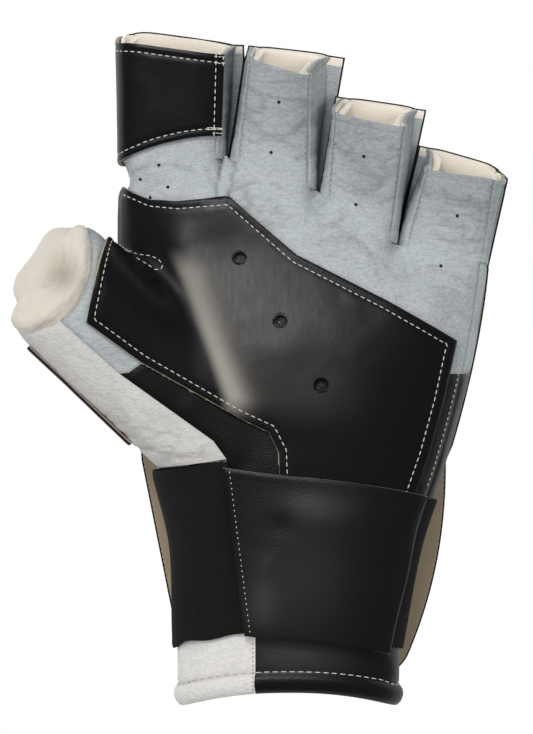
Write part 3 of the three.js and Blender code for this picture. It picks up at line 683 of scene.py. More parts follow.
def thicken(mesh, thickness, skive=None):
    """Gives an open patch its thickness inwards, with its inside and its rim as materials 1 and 2.

    Where a skive is given, the inner edge stands out past the outer one by what it gives for each direction.
    """
    for _ in range(3 - len(mesh.materials)):
        mesh.materials.append(None)
    count = len(mesh.vertices)
    if skive:
        out = rim_directions(mesh)
        rise = vertex_normals(mesh) * np.any(out, axis=1)[:, None] * thickness * 0.4
        out = out * skive(out)[:, None] + rise
    made = modified(
        mesh, "SOLIDIFY", thickness=thickness * MM, offset=-1.0, material_offset=1, material_offset_rim=2,
        use_quality_normals=True,
    )
    if skive:
        points = coordinates(made)
        points[count:2 * count] += out
        set_coordinates(made, points)
    return made


def face_values(mesh, name):
    """The greatest value of a point attribute at the corners of each face."""
    values = np.zeros(len(mesh.vertices), np.float32)
    mesh.attributes[name].data.foreach_get("value", values)
    return np.array([max(values[i] for i in face.vertices) for face in mesh.polygons])


def repaint(mesh, faces, old, new):
    """Gives the chosen faces of one material number another."""
    numbers = np.zeros(len(mesh.polygons), np.int32)
    mesh.polygons.foreach_get("material_index", numbers)
    numbers[faces & (numbers == old)] = new
    mesh.polygons.foreach_set("material_index", numbers)


def finish_piece(name, mesh, finishes, nodes=()):
    """Makes a mesh a smooth-shaded piece of the glove in its finishes, which stands for its solids."""
    mesh.name = name
    for place, finish in enumerate(finishes):
        if place < len(mesh.materials):
            mesh.materials[place] = FINISHES[finish]
        else:
            mesh.materials.append(FINISHES[finish])
    mesh.polygons.foreach_set("use_smooth", [True] * len(mesh.polygons))
    mesh.set_sharp_from_angle(angle=math.radians(55.0))
    obj = bpy.data.objects.new(f"sewn_{name}", mesh)
    bpy.context.scene.collection.objects.link(obj)
    if nodes:
        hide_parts(*nodes)
    PIECES[name] = obj
    return obj


def leather_patch(name, mesh, wrinkle, tuck, finishes, nodes, flush=None):
    """A panel of leather cut from the skin: wrinkled, tucked in at its seams and given its thickness."""
    points = coordinates(mesh)
    away = edge_distance(mesh, 4.0, flush)
    depth = wrinkle(points) * smooth(0.0, 3.0, away)
    lift_points(mesh, points, depth - tuck * (1.0 - smooth(0.0, 1.8, away)))
    # Painted shade in the wrinkles' valleys and along the tucked edges, through the crease attribute
    set_attribute(mesh, "crease", clipped(-depth * 1.6 + 0.5 * (1.0 - smooth(0.0, 1.2, away))))
    return finish_piece(name, thicken(mesh, LEATHER), finishes, nodes)


def spaced(length, step, edge=0.5):
    """Shares from 0 to 1 along a length, closer together at both ends."""
    inner = np.linspace(2 * edge, length - 2 * edge, max(3, int(round(length / step))))
    return np.concatenate([[0.0, edge], inner, [length - edge, length]]) / length


def grid_mesh(name, points):
    return new_mesh(name, points.reshape(-1, 3), ring_faces(*points.shape[:2], False))


def sock_mesh(name, rings, first, last):
    """A closed mesh over rings of points that draw together to a point at each end."""
    rows, columns = rings.shape[:2]
    count = rows * columns
    faces = ring_faces(rows, columns, True)
    faces += [((i + 1) % columns, i, count) for i in range(columns)]
    faces += [(count - columns + i, count - columns + (i + 1) % columns, count + 1) for i in range(columns)]
    return new_mesh(name, np.vstack([rings.reshape(-1, 3), first, last]), [face[::-1] for face in faces])


def closed_tube(name, rings):
    """A mesh over rings of points, with the last ring joined to the first."""
    rows, columns = rings.shape[:2]
    faces = ring_faces(rows, columns, True)
    last = (rows - 1) * columns
    faces += [(last + i, last + (i + 1) % columns, (i + 1) % columns, i) for i in range(columns)]
    return new_mesh(name, rings.reshape(-1, 3), faces)


def form_patch(form, angles, start, end, offset=0.0):
    """An open patch of a form over angles, between two ends given at each, with its points' places along."""
    along = mix(start, end, spaced(float(np.max(end - start)), 1.0)[:, None])
    return form.point(angles, along, offset), along


# Materials

def tinted(colour, share=1.0):
    return (*[c * share for c in colour[:3]], 1.0)


class Nodes:
    """A tree of nodes that is built up step by step."""

    def __init__(self, tree):
        self.tree = tree

    def add(self, kind, inputs=None, **settings):
        """A new node with its settings, and with its inputs linked or set."""
        node = self.tree.nodes.new(kind)
        for key, value in settings.items():
            setattr(node, key, value)
        for key, value in (inputs or {}).items():
            self.feed(node.inputs[key], value)
        return node

    def feed(self, socket, value):
        if hasattr(value, "is_output"):
            self.tree.links.new(value, socket)
        else:
            socket.default_value = value


class Finish(Nodes):
    """A surface of shader nodes, with its bumps laid one over another."""

    def __init__(self, name, roughness, specular=0.4):
        self.material = bpy.data.materials.new(name)
        self.material.use_nodes = True
        super().__init__(self.material.node_tree)
        self.shader = self.tree.nodes["Principled BSDF"].inputs
        self.shader["Roughness"].default_value = roughness
        self.shader["Specular IOR Level"].default_value = specular
        self.place = self.add("ShaderNodeTexCoord").outputs["Object"]
        self.bump = None

    def noise(self, size_mm, detail=3.0, place=None):
        inputs = {"Scale": 1.0 / (size_mm * MM), "Detail": detail, "Vector": place or self.place}
        return self.add("ShaderNodeTexNoise", inputs).outputs["Fac"]

    def cells(self, size_mm, feature="F1"):
        inputs = {"Scale": 1.0 / (size_mm * MM), "Vector": self.place}
        return self.add("ShaderNodeTexVoronoi", inputs, feature=feature).outputs["Distance"]

    def ridges(self, size_mm, place):
        """Fine lines with a value of 1 where a noise crosses its middle."""
        away = self.math("ABSOLUTE", self.math("SUBTRACT", self.noise(size_mm, 2.0, place), 0.5))
        return self.ramp(away, (0.0, (1, 1, 1, 1)), (0.08, (0, 0, 0, 1)))

    def stretched(self, scale, turn=0.0):
        inputs = {"Scale": scale, "Rotation": (0.0, 0.0, math.radians(turn)), "Vector": self.place}
        return self.add("ShaderNodeMapping", inputs).outputs["Vector"]

    def ramp(self, value, *stops):
        node = self.add("ShaderNodeValToRGB", {"Fac": value})
        for element, (position, colour) in zip(node.color_ramp.elements, stops):
            element.position = position
            element.color = colour
        return node.outputs["Color"]

    def blend(self, factor, first, second):
        return self.add("ShaderNodeMix", {"Factor": factor, 6: first, 7: second}, data_type="RGBA").outputs[2]

    def math(self, operation, *values):
        return self.add("ShaderNodeMath", dict(enumerate(values)), operation=operation).outputs[0]

    def times(self, value, share):
        return self.math("MULTIPLY", value, share)

    def spread(self, value, low, high):
        """A value from 0 to 1 moved to a range."""
        return self.math("ADD", self.times(value, high - low), low)

    def attribute(self, name):
        return self.add("ShaderNodeAttribute", attribute_name=name).outputs["Fac"]

    def raise_by(self, height, depth_mm, strength):
        inputs = {"Distance": depth_mm * MM, "Strength": strength, "Height": height}
        if self.bump:
            inputs["Normal"] = self.bump
        self.bump = self.add("ShaderNodeBump", inputs).outputs["Normal"]

    def fuzz(self, weight, roughness):
        self.shader["Sheen Weight"].default_value = weight
        self.shader["Sheen Roughness"].default_value = roughness

    def done(self, colour, roughness=None):
        self.feed(self.shader["Base Color"], colour)
        if roughness is not None:
            self.feed(self.shader["Roughness"], roughness)
        if self.bump:
            self.feed(self.shader["Normal"], self.bump)
        return self.material


def grained_leather(name, colour, shade, grain, depth, roughness, blotch, crinkle=0.0, rumple=1.0):
    """Soft leather with a pebbled grain, cloudy colour, painted shade in its creases and fine crinkles that run
    across.
    """
    f = Finish(name, roughness)
    cloud = f.noise(9.0, 4.0)
    pores = f.cells(grain, "SMOOTH_F1")
    crease = f.attribute("crease")
    base = f.blend(cloud, tinted(colour, 1.0 - blotch), tinted(colour, 1.0 + blotch * 0.6))
    base = f.blend(f.times(pores, 0.35), base, tinted(shade))
    # Painted shade: towards the shade colour where the crease attribute is set
    base = f.blend(f.times(crease, 0.75), base, tinted(shade))
    f.raise_by(f.noise(4.0), 0.4, 0.3 * rumple)
    f.raise_by(f.noise(2.2, 4.0, f.stretched((0.45, 1.0, 1.0))), 0.3, 0.35 * rumple)
    # Painted sheen: lighter where the piece's sheen attribute is set
    base = f.blend(f.attribute("painted_sheen"), base, PAINTED_SHEEN)
    if crinkle:
        lines = f.ridges(1.5, f.stretched((0.4, 1.0, 1.0), 10.0))
        drawn = f.times(lines, f.spread(crease, crinkle * 0.5, crinkle * 1.6))
        base = f.blend(drawn, base, tinted(shade))
        f.raise_by(f.math("SUBTRACT", 1.0, lines), 0.2, 0.5)
    f.raise_by(f.math("SUBTRACT", 1.0, pores), depth, 0.8)
    f.raise_by(f.noise(grain * 0.45, 2.0), depth * 0.4, 0.5)
    return f.done(base, f.spread(cloud, roughness - 0.06, roughness + 0.08))


def suede_leather(name, colour, shade):
    """The brushed flesh side of leather."""
    f = Finish(name, 0.95, 0.15)
    nap = f.noise(0.5)
    base = f.blend(f.noise(6.0, 4.0), tinted(shade), tinted(colour))
    base = f.blend(f.times(nap, 0.5), base, tinted(colour, 1.12))
    f.fuzz(0.35, 0.6)
    f.raise_by(nap, 0.12, 0.7)
    return f.done(base)


def smooth_grip_leather(name, colour, worn_and_highlight):
    """Smooth tacky leather with fine scratches, and over its crown a rubbed streak: wear and a painted
    highlight.
    """
    f = Finish(name, 0.36, 0.32)
    scratches = f.noise(1.2, 4.0, f.stretched((1.0, 0.12, 1.0), 28.0))
    # Towards the rubbed colour where the streak is: wear, and a painted highlight
    rubbed_and_highlight = f.times(f.attribute("wear_and_highlight"), f.spread(f.noise(22.0), 0.75, 1.2))
    base = f.blend(rubbed_and_highlight, tinted(colour), tinted(worn_and_highlight))
    f.raise_by(f.noise(7.0), 0.35, 0.3)
    f.raise_by(f.noise(0.35, 2.0), 0.03, 0.35)
    return f.done(base, f.math("ADD", f.spread(scratches, 0.3, 0.44), f.times(rubbed_and_highlight, 0.16)))


def fleece_cloth(name, colour, shade):
    """Soft brushed lining."""
    f = Finish(name, 0.98, 0.1)
    tuft = f.noise(0.9, 4.0)
    base = f.blend(f.noise(8.0), tinted(colour, 0.97), tinted(colour, 1.03))
    base = f.blend(f.times(tuft, 0.32), base, tinted(shade))
    # Painted shade in the dent of the thumb's lip
    base = f.blend(f.times(f.attribute("dent_shade"), 0.7), base, tinted(shade, 0.5))
    f.fuzz(0.4, 0.5)
    f.raise_by(tuft, 0.3, 0.6)
    return f.done(base)


def woven_elastic(name, colour, light):
    """Ribbed elastic: ribs across the band, each broken by the weave."""
    f = Finish(name, 0.85, 0.2)
    uv = f.add("ShaderNodeUVMap").outputs["UV"]

    def waves(direction, scale, distortion):
        inputs = {"Scale": scale, "Distortion": distortion, "Vector": uv}
        return f.add("ShaderNodeTexWave", inputs, wave_type="BANDS", bands_direction=direction).outputs["Fac"]

    cloth = f.math("ADD", waves("X", 0.36, 0.4), f.times(waves("Y", 0.5, 0.6), 0.5))
    lint = f.ramp(f.noise(0.5, 2.0), (0.62, (0, 0, 0, 1)), (0.78, (1, 1, 1, 1)))
    base = f.blend(f.times(cloth, 0.45), tinted(colour), tinted(light))
    base = f.blend(f.times(lint, 0.12), base, tinted(light, 2.2))
    f.raise_by(cloth, 0.25, 0.9)
    return f.done(base)


def fine_grained(name, low, high, shine, grain, bump=None):
    """A finish that runs from one colour to another over fibres, or over cells if only a size is given."""
    f = Finish(name, *shine)
    texture = f.noise(*grain) if len(grain) > 1 else f.cells(*grain)
    if bump:
        f.raise_by(texture, *bump)
    return f.done(f.blend(texture, tinted(low), tinted(high)))


def cut_edge(name, colour, shade):
    """The fibrous cut edge of leather."""
    return fine_grained(name, shade, colour, (0.9, 0.2), (0.6, 3.0), (0.1, 0.6))


def waxed_thread(name, colour, shade):
    """Twisted sewing thread."""
    return fine_grained(name, shade, colour, (0.6, 0.35), (0.4, 2.0), (0.08, 0.6))


FINISHES = {}


def colour_property(name, description, default):
    return FloatVectorProperty(
        name=name, description=description, default=default, size=3, min=0.0, max=1.0, subtype="COLOR",
    )


def length_property(name, description, default):
    return FloatProperty(name=name, description=description, default=default, min=0.0, unit="LENGTH")


class GloveColours(bpy.types.PropertyGroup):
    """Colours of the leathers, linings and thread"""

    grey: colour_property(
        "Grey leather", "Fronts and gussets of the fingers and the palm", (0.49, 0.525, 0.535),
    )
    grey_shade: colour_property("Grey creases", "Grey leather in its wrinkles", (0.13, 0.145, 0.15))
    black: colour_property("Black leather", "Heel, wrist strap, cuff and back", (0.0055, 0.0055, 0.0062))
    grip: colour_property("Grip leather", "Palm pad and index patch", (0.0045, 0.0045, 0.0055))
    # The rubbed colour of the grip leather is partly wear and partly a painted highlight
    worn_and_highlight: colour_property("Rubbed grip", "Grip leather where it is rubbed", (0.29, 0.265, 0.23))
    white: colour_property("White leather", "Side of the thumb and cuff", (0.69, 0.67, 0.635))
    white_shade: colour_property("White creases", "White leather in its wrinkles", (0.4, 0.385, 0.36))
    fleece: colour_property("Lining", "Brushed lining of the fingers, thumb and hand", (0.85, 0.79, 0.69))
    fleece_shade: colour_property("Lining shade", "Lining between its fibres", (0.62, 0.54, 0.43))
    suede: colour_property("Suede", "Flesh side of the stiff back", (0.37, 0.29, 0.19))
    edge: colour_property("Cut edge", "Raw edges of the leather", (0.55, 0.47, 0.36))
    thread: colour_property("Thread", "Light sewing thread", (0.8, 0.74, 0.62))
    # Near black: the foam's colour darkened with painted shade, so that the vent holes read dark
    foam: colour_property("Foam", "Cushion under the vent holes", (0.03, 0.03, 0.032))


class GloveSizes(bpy.types.PropertyGroup):
    """Sizes of the stitches, wrinkles and holes"""

    stitch_pitch: length_property("Stitch pitch", "Distance from one stitch to the next", 0.0023)
    stitch_length: length_property("Stitch length", "Length of thread that shows in a stitch", 0.0017)
    thread_width: length_property("Thread width", "Width of a stitch", 0.00035)
    fold_depth: length_property("Fold depth", "Depth of the wrinkles in the grey leather", 0.00055)
    perforation: length_property("Perforation", "Diameter of the air holes in the leather", 0.00115)


class GloveStage(bpy.types.PropertyGroup):
    """Camera and light"""

    camera_height: length_property("Camera height", "Height of the camera over the floor", 1.0)
    view_length: length_property(
        "View length", "Length of floor that fills the picture from top to bottom", 0.2447,
    )
    key_power: FloatProperty(
        name="Key light", description="Power of the large soft light", default=7.5, unit="POWER",
    )


def make_finishes(c):
    """All finishes of the glove, from its colours."""
    black_light = (0.018, 0.018, 0.019)
    # A lighter white for the cuff: painted light
    painted_light_white = tinted(c.white, 1.1)
    FINISHES.update({
        "grey": grained_leather("grey_leather", c.grey, c.grey_shade, 0.75, 0.14, 0.62, 0.1, 0.26),
        "black": grained_leather(
            "black_leather", c.black, tinted(c.black, 0.4), 0.48, 0.09, 0.4, 0.2, 0.0, 0.3,
        ),
        "grip": smooth_grip_leather("grip_leather", c.grip, c.worn_and_highlight),
        # The thumb's white is darker than the cuff's: painted shade on the thumb, painted light on the cuff
        "white": grained_leather(
            "white_leather", tinted(c.white, 0.9), c.white_shade, 1.4, 0.26, 0.55, 0.05, 0.1, 0.7,
        ),
        "cuff_white": grained_leather("cuff_leather", painted_light_white, c.white_shade, 1.4, 0.2, 0.55, 0.05, 0.06, 0.5),
        # The thumb's lip is the lining fleece made darker: painted shade
        "thumb_fleece": fleece_cloth("thumb_fleece", tinted(c.fleece, 0.77), tinted(c.fleece_shade, 0.8)),
        "fleece": fleece_cloth("lining_fleece", c.fleece, c.fleece_shade),
        "suede": suede_leather("tan_suede", c.suede, tinted(c.suede, 0.7)),
        "edge": cut_edge("cut_edge", c.edge, tinted(c.edge, 0.5)),
        "dark_edge": cut_edge("dark_cut_edge", (0.05, 0.042, 0.034), (0.012, 0.011, 0.01)),
        "elastic": woven_elastic("wrist_elastic", c.black, black_light),
        "tape": fine_grained("fastening_tape", c.black, black_light, (0.95, 0.15), (0.55,), (0.3, 0.9)),
        "thread": waxed_thread("light_thread", c.thread, tinted(c.thread, 0.7)),
        "grey_thread": waxed_thread("grey_thread", (0.26, 0.28, 0.29), c.grey_shade),
        "pale_thread": waxed_thread("pale_thread", (0.5, 0.48, 0.43), (0.33, 0.31, 0.28)),
        "tan_thread": waxed_thread("tan_thread", (0.3, 0.24, 0.17), (0.16, 0.13, 0.09)),
        # The foam under the vents, near black: painted shade in the holes
        "foam": fine_grained("cushion_foam", tinted(c.foam, 0.4), c.foam, (0.4, 0.5), (0.7,), (0.25, 0.7)),
        "hole": fine_grained(
            "hole_shadow", (0.006, 0.006, 0.007), (0.03, 0.03, 0.032), (0.9, 0.1), (0.4, 2.0),
        ),
    })


# Wrinkles

def folds(points, across, along, width, length, seed):
    """Creased folds that run across: sharp valleys between rounded ridges."""
    plan = np.stack([across / width, along / length, points[:, 2] / 40.0], axis=1)
    first = value_noise(plan, 1.0, seed)
    second = value_noise(plan * (1.7, 2.1, 1.0), 1.0, seed + 7)
    valley = clipped(1.0 - np.abs(first) / 0.28) ** 1.5
    return 0.35 * second - valley


def soft_swell(points, seed):
    return 0.35 * value_noise(points, 16.0, seed) + 0.16 * value_noise(points, 6.0, seed + 3)


def knuckle_swell(points):
    """The soft unevenness that the palm and the finger fronts share."""
    return 0.6 * soft_swell(points, 21)


def finger_sag(name, along, across):
    """Folds hang a little between the two slits beside a finger."""
    half = FINGERS[name].width / 2
    return along + 5.0 * (1.0 - np.clip(across / half, -1.0, 1.0) ** 2)


def palm_wrinkle(depth):
    def wrinkle(points):
        plan = points[:, :2]
        drop = knuckle_drop(plan)
        line = np.array(KNUCKLE_LINE)
        span = np.interp(plan[:, 0], line[:, 0], np.arange(len(line)))
        bow = 8.0 * np.sin(np.pi * (span % 1.0))
        run = folds(points, plan[:, 0], drop + bow, 11.0, 2.6, 11)
        near = smooth(28.0, 6.0, drop) * smooth(0.0, 4.0, drop)
        pleat = line_distance(plan, PLEAT)
        welt = 0.6 * smooth(1.9, 1.3, pleat) - 0.4 * bell(pleat, 2.1, 0.5)
        welt -= 0.2 * slit_dip(points) * smooth(1.6, 2.6, pleat)
        return depth * run * (0.12 + 0.4 * near) + knuckle_swell(points) + welt

    return wrinkle


def white_wrinkle(points):
    plan = points[:, :2]
    run = folds(points, plan @ THUMB.along, plan @ THUMB.right, 9.0, 3.2, 31)
    low = smooth(0.0, -28.0, points[:, 1])
    gather = folds(points, points[:, 0], points[:, 1], 8.0, 2.4, 37)
    fold = bell(points[:, 1], -29.0, 1.7) * smooth(-37.0, -31.0, points[:, 0])
    return 0.15 * run + 0.45 * gather * low + soft_swell(points, 33) * 0.7 - 0.7 * fold


def calm_wrinkle(points):
    return soft_swell(points, 51) * 0.9


class GLOVE_OT_finger_stalls(bpy.types.Operator):
    """Makes the four finger stalls with their gussets, backs, linings and the index patch"""

    bl_idname = "glove.finger_stalls"
    bl_label = "Finger stalls"

    def execute(self, context):
        depth = context.scene.glove_sizes.fold_depth / MM
        sides = {
            "front_leather": (-45.0, 45.0, "grey"), "left_gusset": (-135.0, -45.0, "grey"),
            "right_gusset": (45.0, 135.0, "grey"), "back_leather": (135.0, 225.0, "black"),
        }
        for number, name in enumerate(FINGERS):
            panels = dict(sides)
            if name == "index":
                panels["front_leather"] = (-135.0, 45.0, "grey")
                del panels["left_gusset"]
            for label, (low, high, finish) in panels.items():
                node = f"{name}_{label}"
                if node == "little_right_gusset":
                    node = "little_outer_gusset"
                self.panel(name, number, node, low, high, finish, depth)
            self.lining(name)
        self.grip_patch()
        return {"FINISHED"}

    def panel(self, name, number, node, low, high, finish, depth):
        form = FORMS[name]
        size = FINGERS[name]
        width = size.width * (high - low) / 90.0
        columns = spaced(width, 0.9, 0.45)
        angles = mix(low, high, columns)
        start = knuckle_start(name, angles)
        ends = rim_end(size, angles)
        if "back" not in node:
            ends = ends - CORNER_TUCK * smooth(10.0, 0.0, np.abs(np.abs(angles) - 135.0))
        points, along = form_patch(form, angles, start, ends)
        points[..., :2] -= gusset_fold(name, angles, ends - along)
        points[..., :2] += slit_closing(name, angles, along - start)
        flat = points.reshape(-1, 3)
        flat[:, 2] -= slit_dip(flat)
        mesh = grid_mesh(node, points)
        across = (flat[:, :2] - form.origin) @ form.right
        from_rim = (ends - along).ravel()
        from_base = (along - start).ravel()
        low_side = np.broadcast_to(columns, along.shape).ravel() * width
        seam = np.minimum(low_side, width - low_side)
        run = folds(flat, across, finger_sag(name, along.ravel(), across), 11.0, 2.5, 61 + number)
        lift = depth * run * smooth(0.0, 3.0, seam) * smooth(1.0, 5.0, from_rim) * smooth(0.0, 4.0, from_base)
        lift = lift * (0.6 if "front" in node else 0.35) + knuckle_swell(flat) * smooth(0.0, 4.0, seam)
        hem = 0.35 * smooth(2.7, 1.5, from_rim) - 0.4 * bell(from_rim, HEM_ROW, 0.5)
        tuck = 0.5 * (1.0 - smooth(0.0, 1.6, seam)) * smooth(-1.0, 4.0, from_base)
        lift_points(mesh, flat, lift + hem - tuck)
        # Painted shade: in the folds' valleys, along the seams, and more towards the finger tips
        crease = np.clip(-lift * 1.2, 0.0, 0.6)
        crease += 0.4 * (1.0 - smooth(0.0, 1.2, seam)) * smooth(0.0, 4.0, from_base)
        set_attribute(mesh, "crease", clipped(crease + 0.44 * smooth(-2.0, 22.0, from_base)))
        finishes = [finish, "fleece", finish, "fleece"]
        if name == "index" and "front" in node:
            finishes[2] = "fleece"
        if "back" in node:
            finishes[1] = "grey"
            mesh = thicken(self.seam_lips(mesh, name, along), LEATHER)
            repaint(mesh, face_values(mesh, "margin") < LIP_BLACK + 0.05, 1, 0)
            repaint(mesh, face_values(mesh, "rim") < LIP_LINED, 1, 3)
        else:
            mesh = thicken(mesh, LEATHER)
        obj = finish_piece(node, mesh, finishes, [node])
        bend_finger(obj, name)

    def seam_lips(self, mesh, name, along):
        """Widens a finger's back by the flat lip of each outer seam, as far as its neighbours leave room."""
        form = FORMS[name]
        points = coordinates(mesh).reshape(*along.shape, 3)
        sides = []
        for column, side in ((0, 1), (-1, -1)):
            edge = points[:, column]
            here = along[:, column]
            middle, half = self.back_reach(name, here)
            across = (edge[:, :2] - form.origin) @ form.right
            below = here[-1] - here
            taper = mix(LIP_TAPER.get((name, side), 1.0), 1.0, smooth(0.0, 6.0, below))
            more, sink = LIP_UNDER.get((name, side), (0.0, 0.0))
            out = side * (middle - across) + half + self.lip_room(name, here, side) * taper
            out = out + more * smooth(0.0, 20.0, here)
            fall = CORNER_FALL * (FINGERS[name].outer == side) * smooth(8.0, 0.0, below)
            steps = [(out - LIP_BLACK) * share for share in (0.3, 0.65, 1.0)] + [out - LIP_EDGE, out]
            lips = [edge + np.outer(step, (*side * form.right, -sink)) for step in steps]
            for lip, step in zip(lips, steps):
                lip[:, :2] -= np.outer(fall * mix(step / out, (step / out) ** 2, 0.4), form.along)
            sides.append(np.stack(lips, axis=1))
        wide = np.concatenate([sides[0][:, ::-1], points, sides[1]], axis=1)
        made = grid_mesh(mesh.name, wide)
        set_attribute(made, "crease", np.zeros(wide.shape[0] * wide.shape[1]))
        margin = np.full(wide.shape[:2], FAR)
        margin[:, [0, 1, 2, -3, -2, -1]] = (0.0, LIP_EDGE, LIP_BLACK, LIP_BLACK, LIP_EDGE, 0.0)
        reach = np.pad(along, ((0, 0), (len(steps), len(steps))), mode="edge")
        from_rim = reach[-1] - reach
        set_attribute(made, "margin", np.minimum(margin, from_rim).ravel())
        set_attribute(made, "rim", from_rim.ravel())
        return made

    def back_reach(self, name, along):
        """The middle and half width of a stall behind, across its own axis."""
        form = FORMS[name]
        left, right = form.at(along)[:2]
        share = np.maximum(along, 0.0) / form.length
        middle = (left + right) / 2 + form.lean * share * BACK_CORNER
        return middle, (right - left) / 2 * (1 + form.flare * share * BACK_CORNER)

    def lip_room(self, name, along, side):
        """Half of the room between a stall and its neighbour on a side, or the lip of an outer side."""
        number = list(FINGERS).index(name) + side
        if number < 0 or number >= len(FINGERS):
            return np.full(len(along), OUTER_LIP)
        other = list(FINGERS)[number]
        beside = FORMS[other]
        middle, half = self.back_reach(name, along)
        edge = FORMS[name].place(middle + side * half, along, 0.0 * along)[:, :2] - beside.origin
        other_middle, other_half = self.back_reach(other, edge @ beside.along)
        room = side * (other_middle - side * other_half - edge @ beside.right)
        return np.clip(room / 2 - LIP_GAP, 0.2, 3.0)

    def lining(self, name):
        form = copy.copy(FORMS[name])
        form.wall = constant(LINING_POWER)
        angles = np.arange(90) * 4.0
        rim = rim_end(FINGERS[name], angles)
        start = np.full(len(angles), STALL_GAP)
        end = rim - mix(1.5, 2.6, smooth(-0.3, 0.8, np.cos(np.radians(angles))))
        depth = -LEATHER - CLEARANCE
        outer, along = form_patch(form, angles, start, end, depth)
        inner, _ = form_patch(form, angles, start, end, depth - STALL_FLEECE)
        crown = form.point(angles, end + LINING_CROWN, depth - STALL_FLEECE / 2)
        rings = np.concatenate([outer, crown[None, :], inner[::-1]])
        reach = np.concatenate([along, end[None, :] + LINING_CROWN, along[::-1]])
        rings[..., :2] -= gusset_fold(name, angles, rim - reach)
        node = f"{name}_lining"
        mesh = closed_tube(node, rings)
        flat = rings.reshape(-1, 3)
        lift_points(mesh, flat, 0.25 * value_noise(flat, 3.0, 81))
        obj = finish_piece(node, mesh, ["fleece"], [node])
        bend_finger(obj, name)

    def grip_patch(self):
        node = "index_grip_patch"
        size = FINGERS["index"]
        angles = mix(-118.0, 45.5, spaced(65.0, 0.9, 0.4))
        ends = rim_end(size, angles) + 0.1
        points, _ = form_patch(FORMS["index"], angles, patch_low(size, angles), ends, CLEARANCE + PAD_LEATHER)
        flat = points.reshape(-1, 3)
        mesh = grid_mesh(node, points)
        away = edge_distance(mesh, 4.0)
        lift = soft_swell(flat, 91) * 0.6 - 0.3 * (1.0 - smooth(0.0, 1.0, away)) - stitch_groove(away)
        lift_points(mesh, flat, lift)
        set_attribute(mesh, "wear_and_highlight", np.zeros(len(flat)))
        mesh = thicken(mesh, PAD_LEATHER, lambda out: 0.3 * clipped(out[:, 0]))
        obj = finish_piece(node, mesh, ["grip", "grip", "edge"], [node])
        bend_finger(obj, "index")


def stitch_groove(away):
    """How far a row of stitches presses the grip leather in."""
    return 0.3 * bell(away, STITCH_INSET, 0.7)


def wrapped(angles):
    """Angles brought between -180 and 180 degrees."""
    return (angles + 180.0) % 360.0 - 180.0


def slit_closing(name, angles, from_base):
    """The step in plan by which the gussets beside a slit come together at its end."""
    number = list(FINGERS).index(name)
    turn = wrapped(angles)
    side = np.where(turn > 0, float(number < 3), -float(number > 0))
    middle = smooth(45.0, 20.0, np.abs(np.abs(turn) - 90.0))
    return (SLIT_CLOSE * side * middle * bell(from_base, 0.0, 8.0))[..., None] * FORMS[name].right


def gusset_fold(name, angles, from_rim):
    """The step in plan by which the open ends of a finger's gussets are folded inwards."""
    turn = wrapped(angles)
    depth = np.where(turn > 0, GUSSET_FOLDS[name][1], -GUSSET_FOLDS[name][0])
    middle = smooth(45.0, 5.0, np.abs(np.abs(turn) - 90.0))
    return (depth * middle * bell(from_rim, 0.0, 9.0))[..., None] * FORMS[name].right


def finger_side(angles):
    """How far across a finger each angle lies, from -1 to 1."""
    return signed_power(np.sin(np.radians(angles)), 2 / FINGER_POWER)


def rim_end(size, angles):
    """How far along a finger its rim lies at each angle."""
    height = signed_power(np.cos(np.radians(angles)), 2 / FINGER_POWER)
    side = finger_side(angles)
    across = size.tip / 2 * side
    behind = (1 - height) / 2
    dip = CORNER_DIP * clipped((side * size.outer - 0.35) / 0.65) ** 3 * mix(0.6, 1.0, behind)
    return mix(size.front, size.back + size.beyond + size.more * across, behind) + size.slant * across - dip


def patch_low(size, angles):
    """Where the index patch begins at each angle: lowest where it wraps round the side of the finger."""
    side = np.where(angles < -90.0, -1.0, finger_side(angles))
    share = clipped((BACK_CORNER - side) / (1.0 + BACK_CORNER))
    return size.front - PATCH_LENGTH - PATCH_DROP * share ** PATCH_BEND


def knuckle_ends(name):
    """The two ends of the knuckle line below a finger."""
    number = list(FINGERS).index(name)
    return np.array(KNUCKLE_LINE[number:number + 2])


def knuckle_start(name, angles):
    """Where a stall's leather begins at each angle: on the knuckle line in front, at its base behind."""
    form = FORMS[name]
    left, right = [end @ form.right for end in knuckle_ends(name) - form.origin]
    low, high = [end @ form.along for end in knuckle_ends(name) - form.origin]
    across = FINGERS[name].width / 2 * finger_side(angles)
    front = mix(low, high, clipped((across - left) / (right - left)))
    behind = smooth(95.0, 130.0, np.abs(wrapped(angles)))
    return mix(front, STALL_GAP, behind)


def bend_finger(obj, name):
    """Bakes the transform of a finger's piece into its mesh; the ends of its knuckle line are looked up but not
    used.
    """
    first, second = knuckle_ends(name)
    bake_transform(obj)


def bend_thumb(obj):
    """Bakes the transform of a piece on the thumb into its mesh."""
    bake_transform(obj)


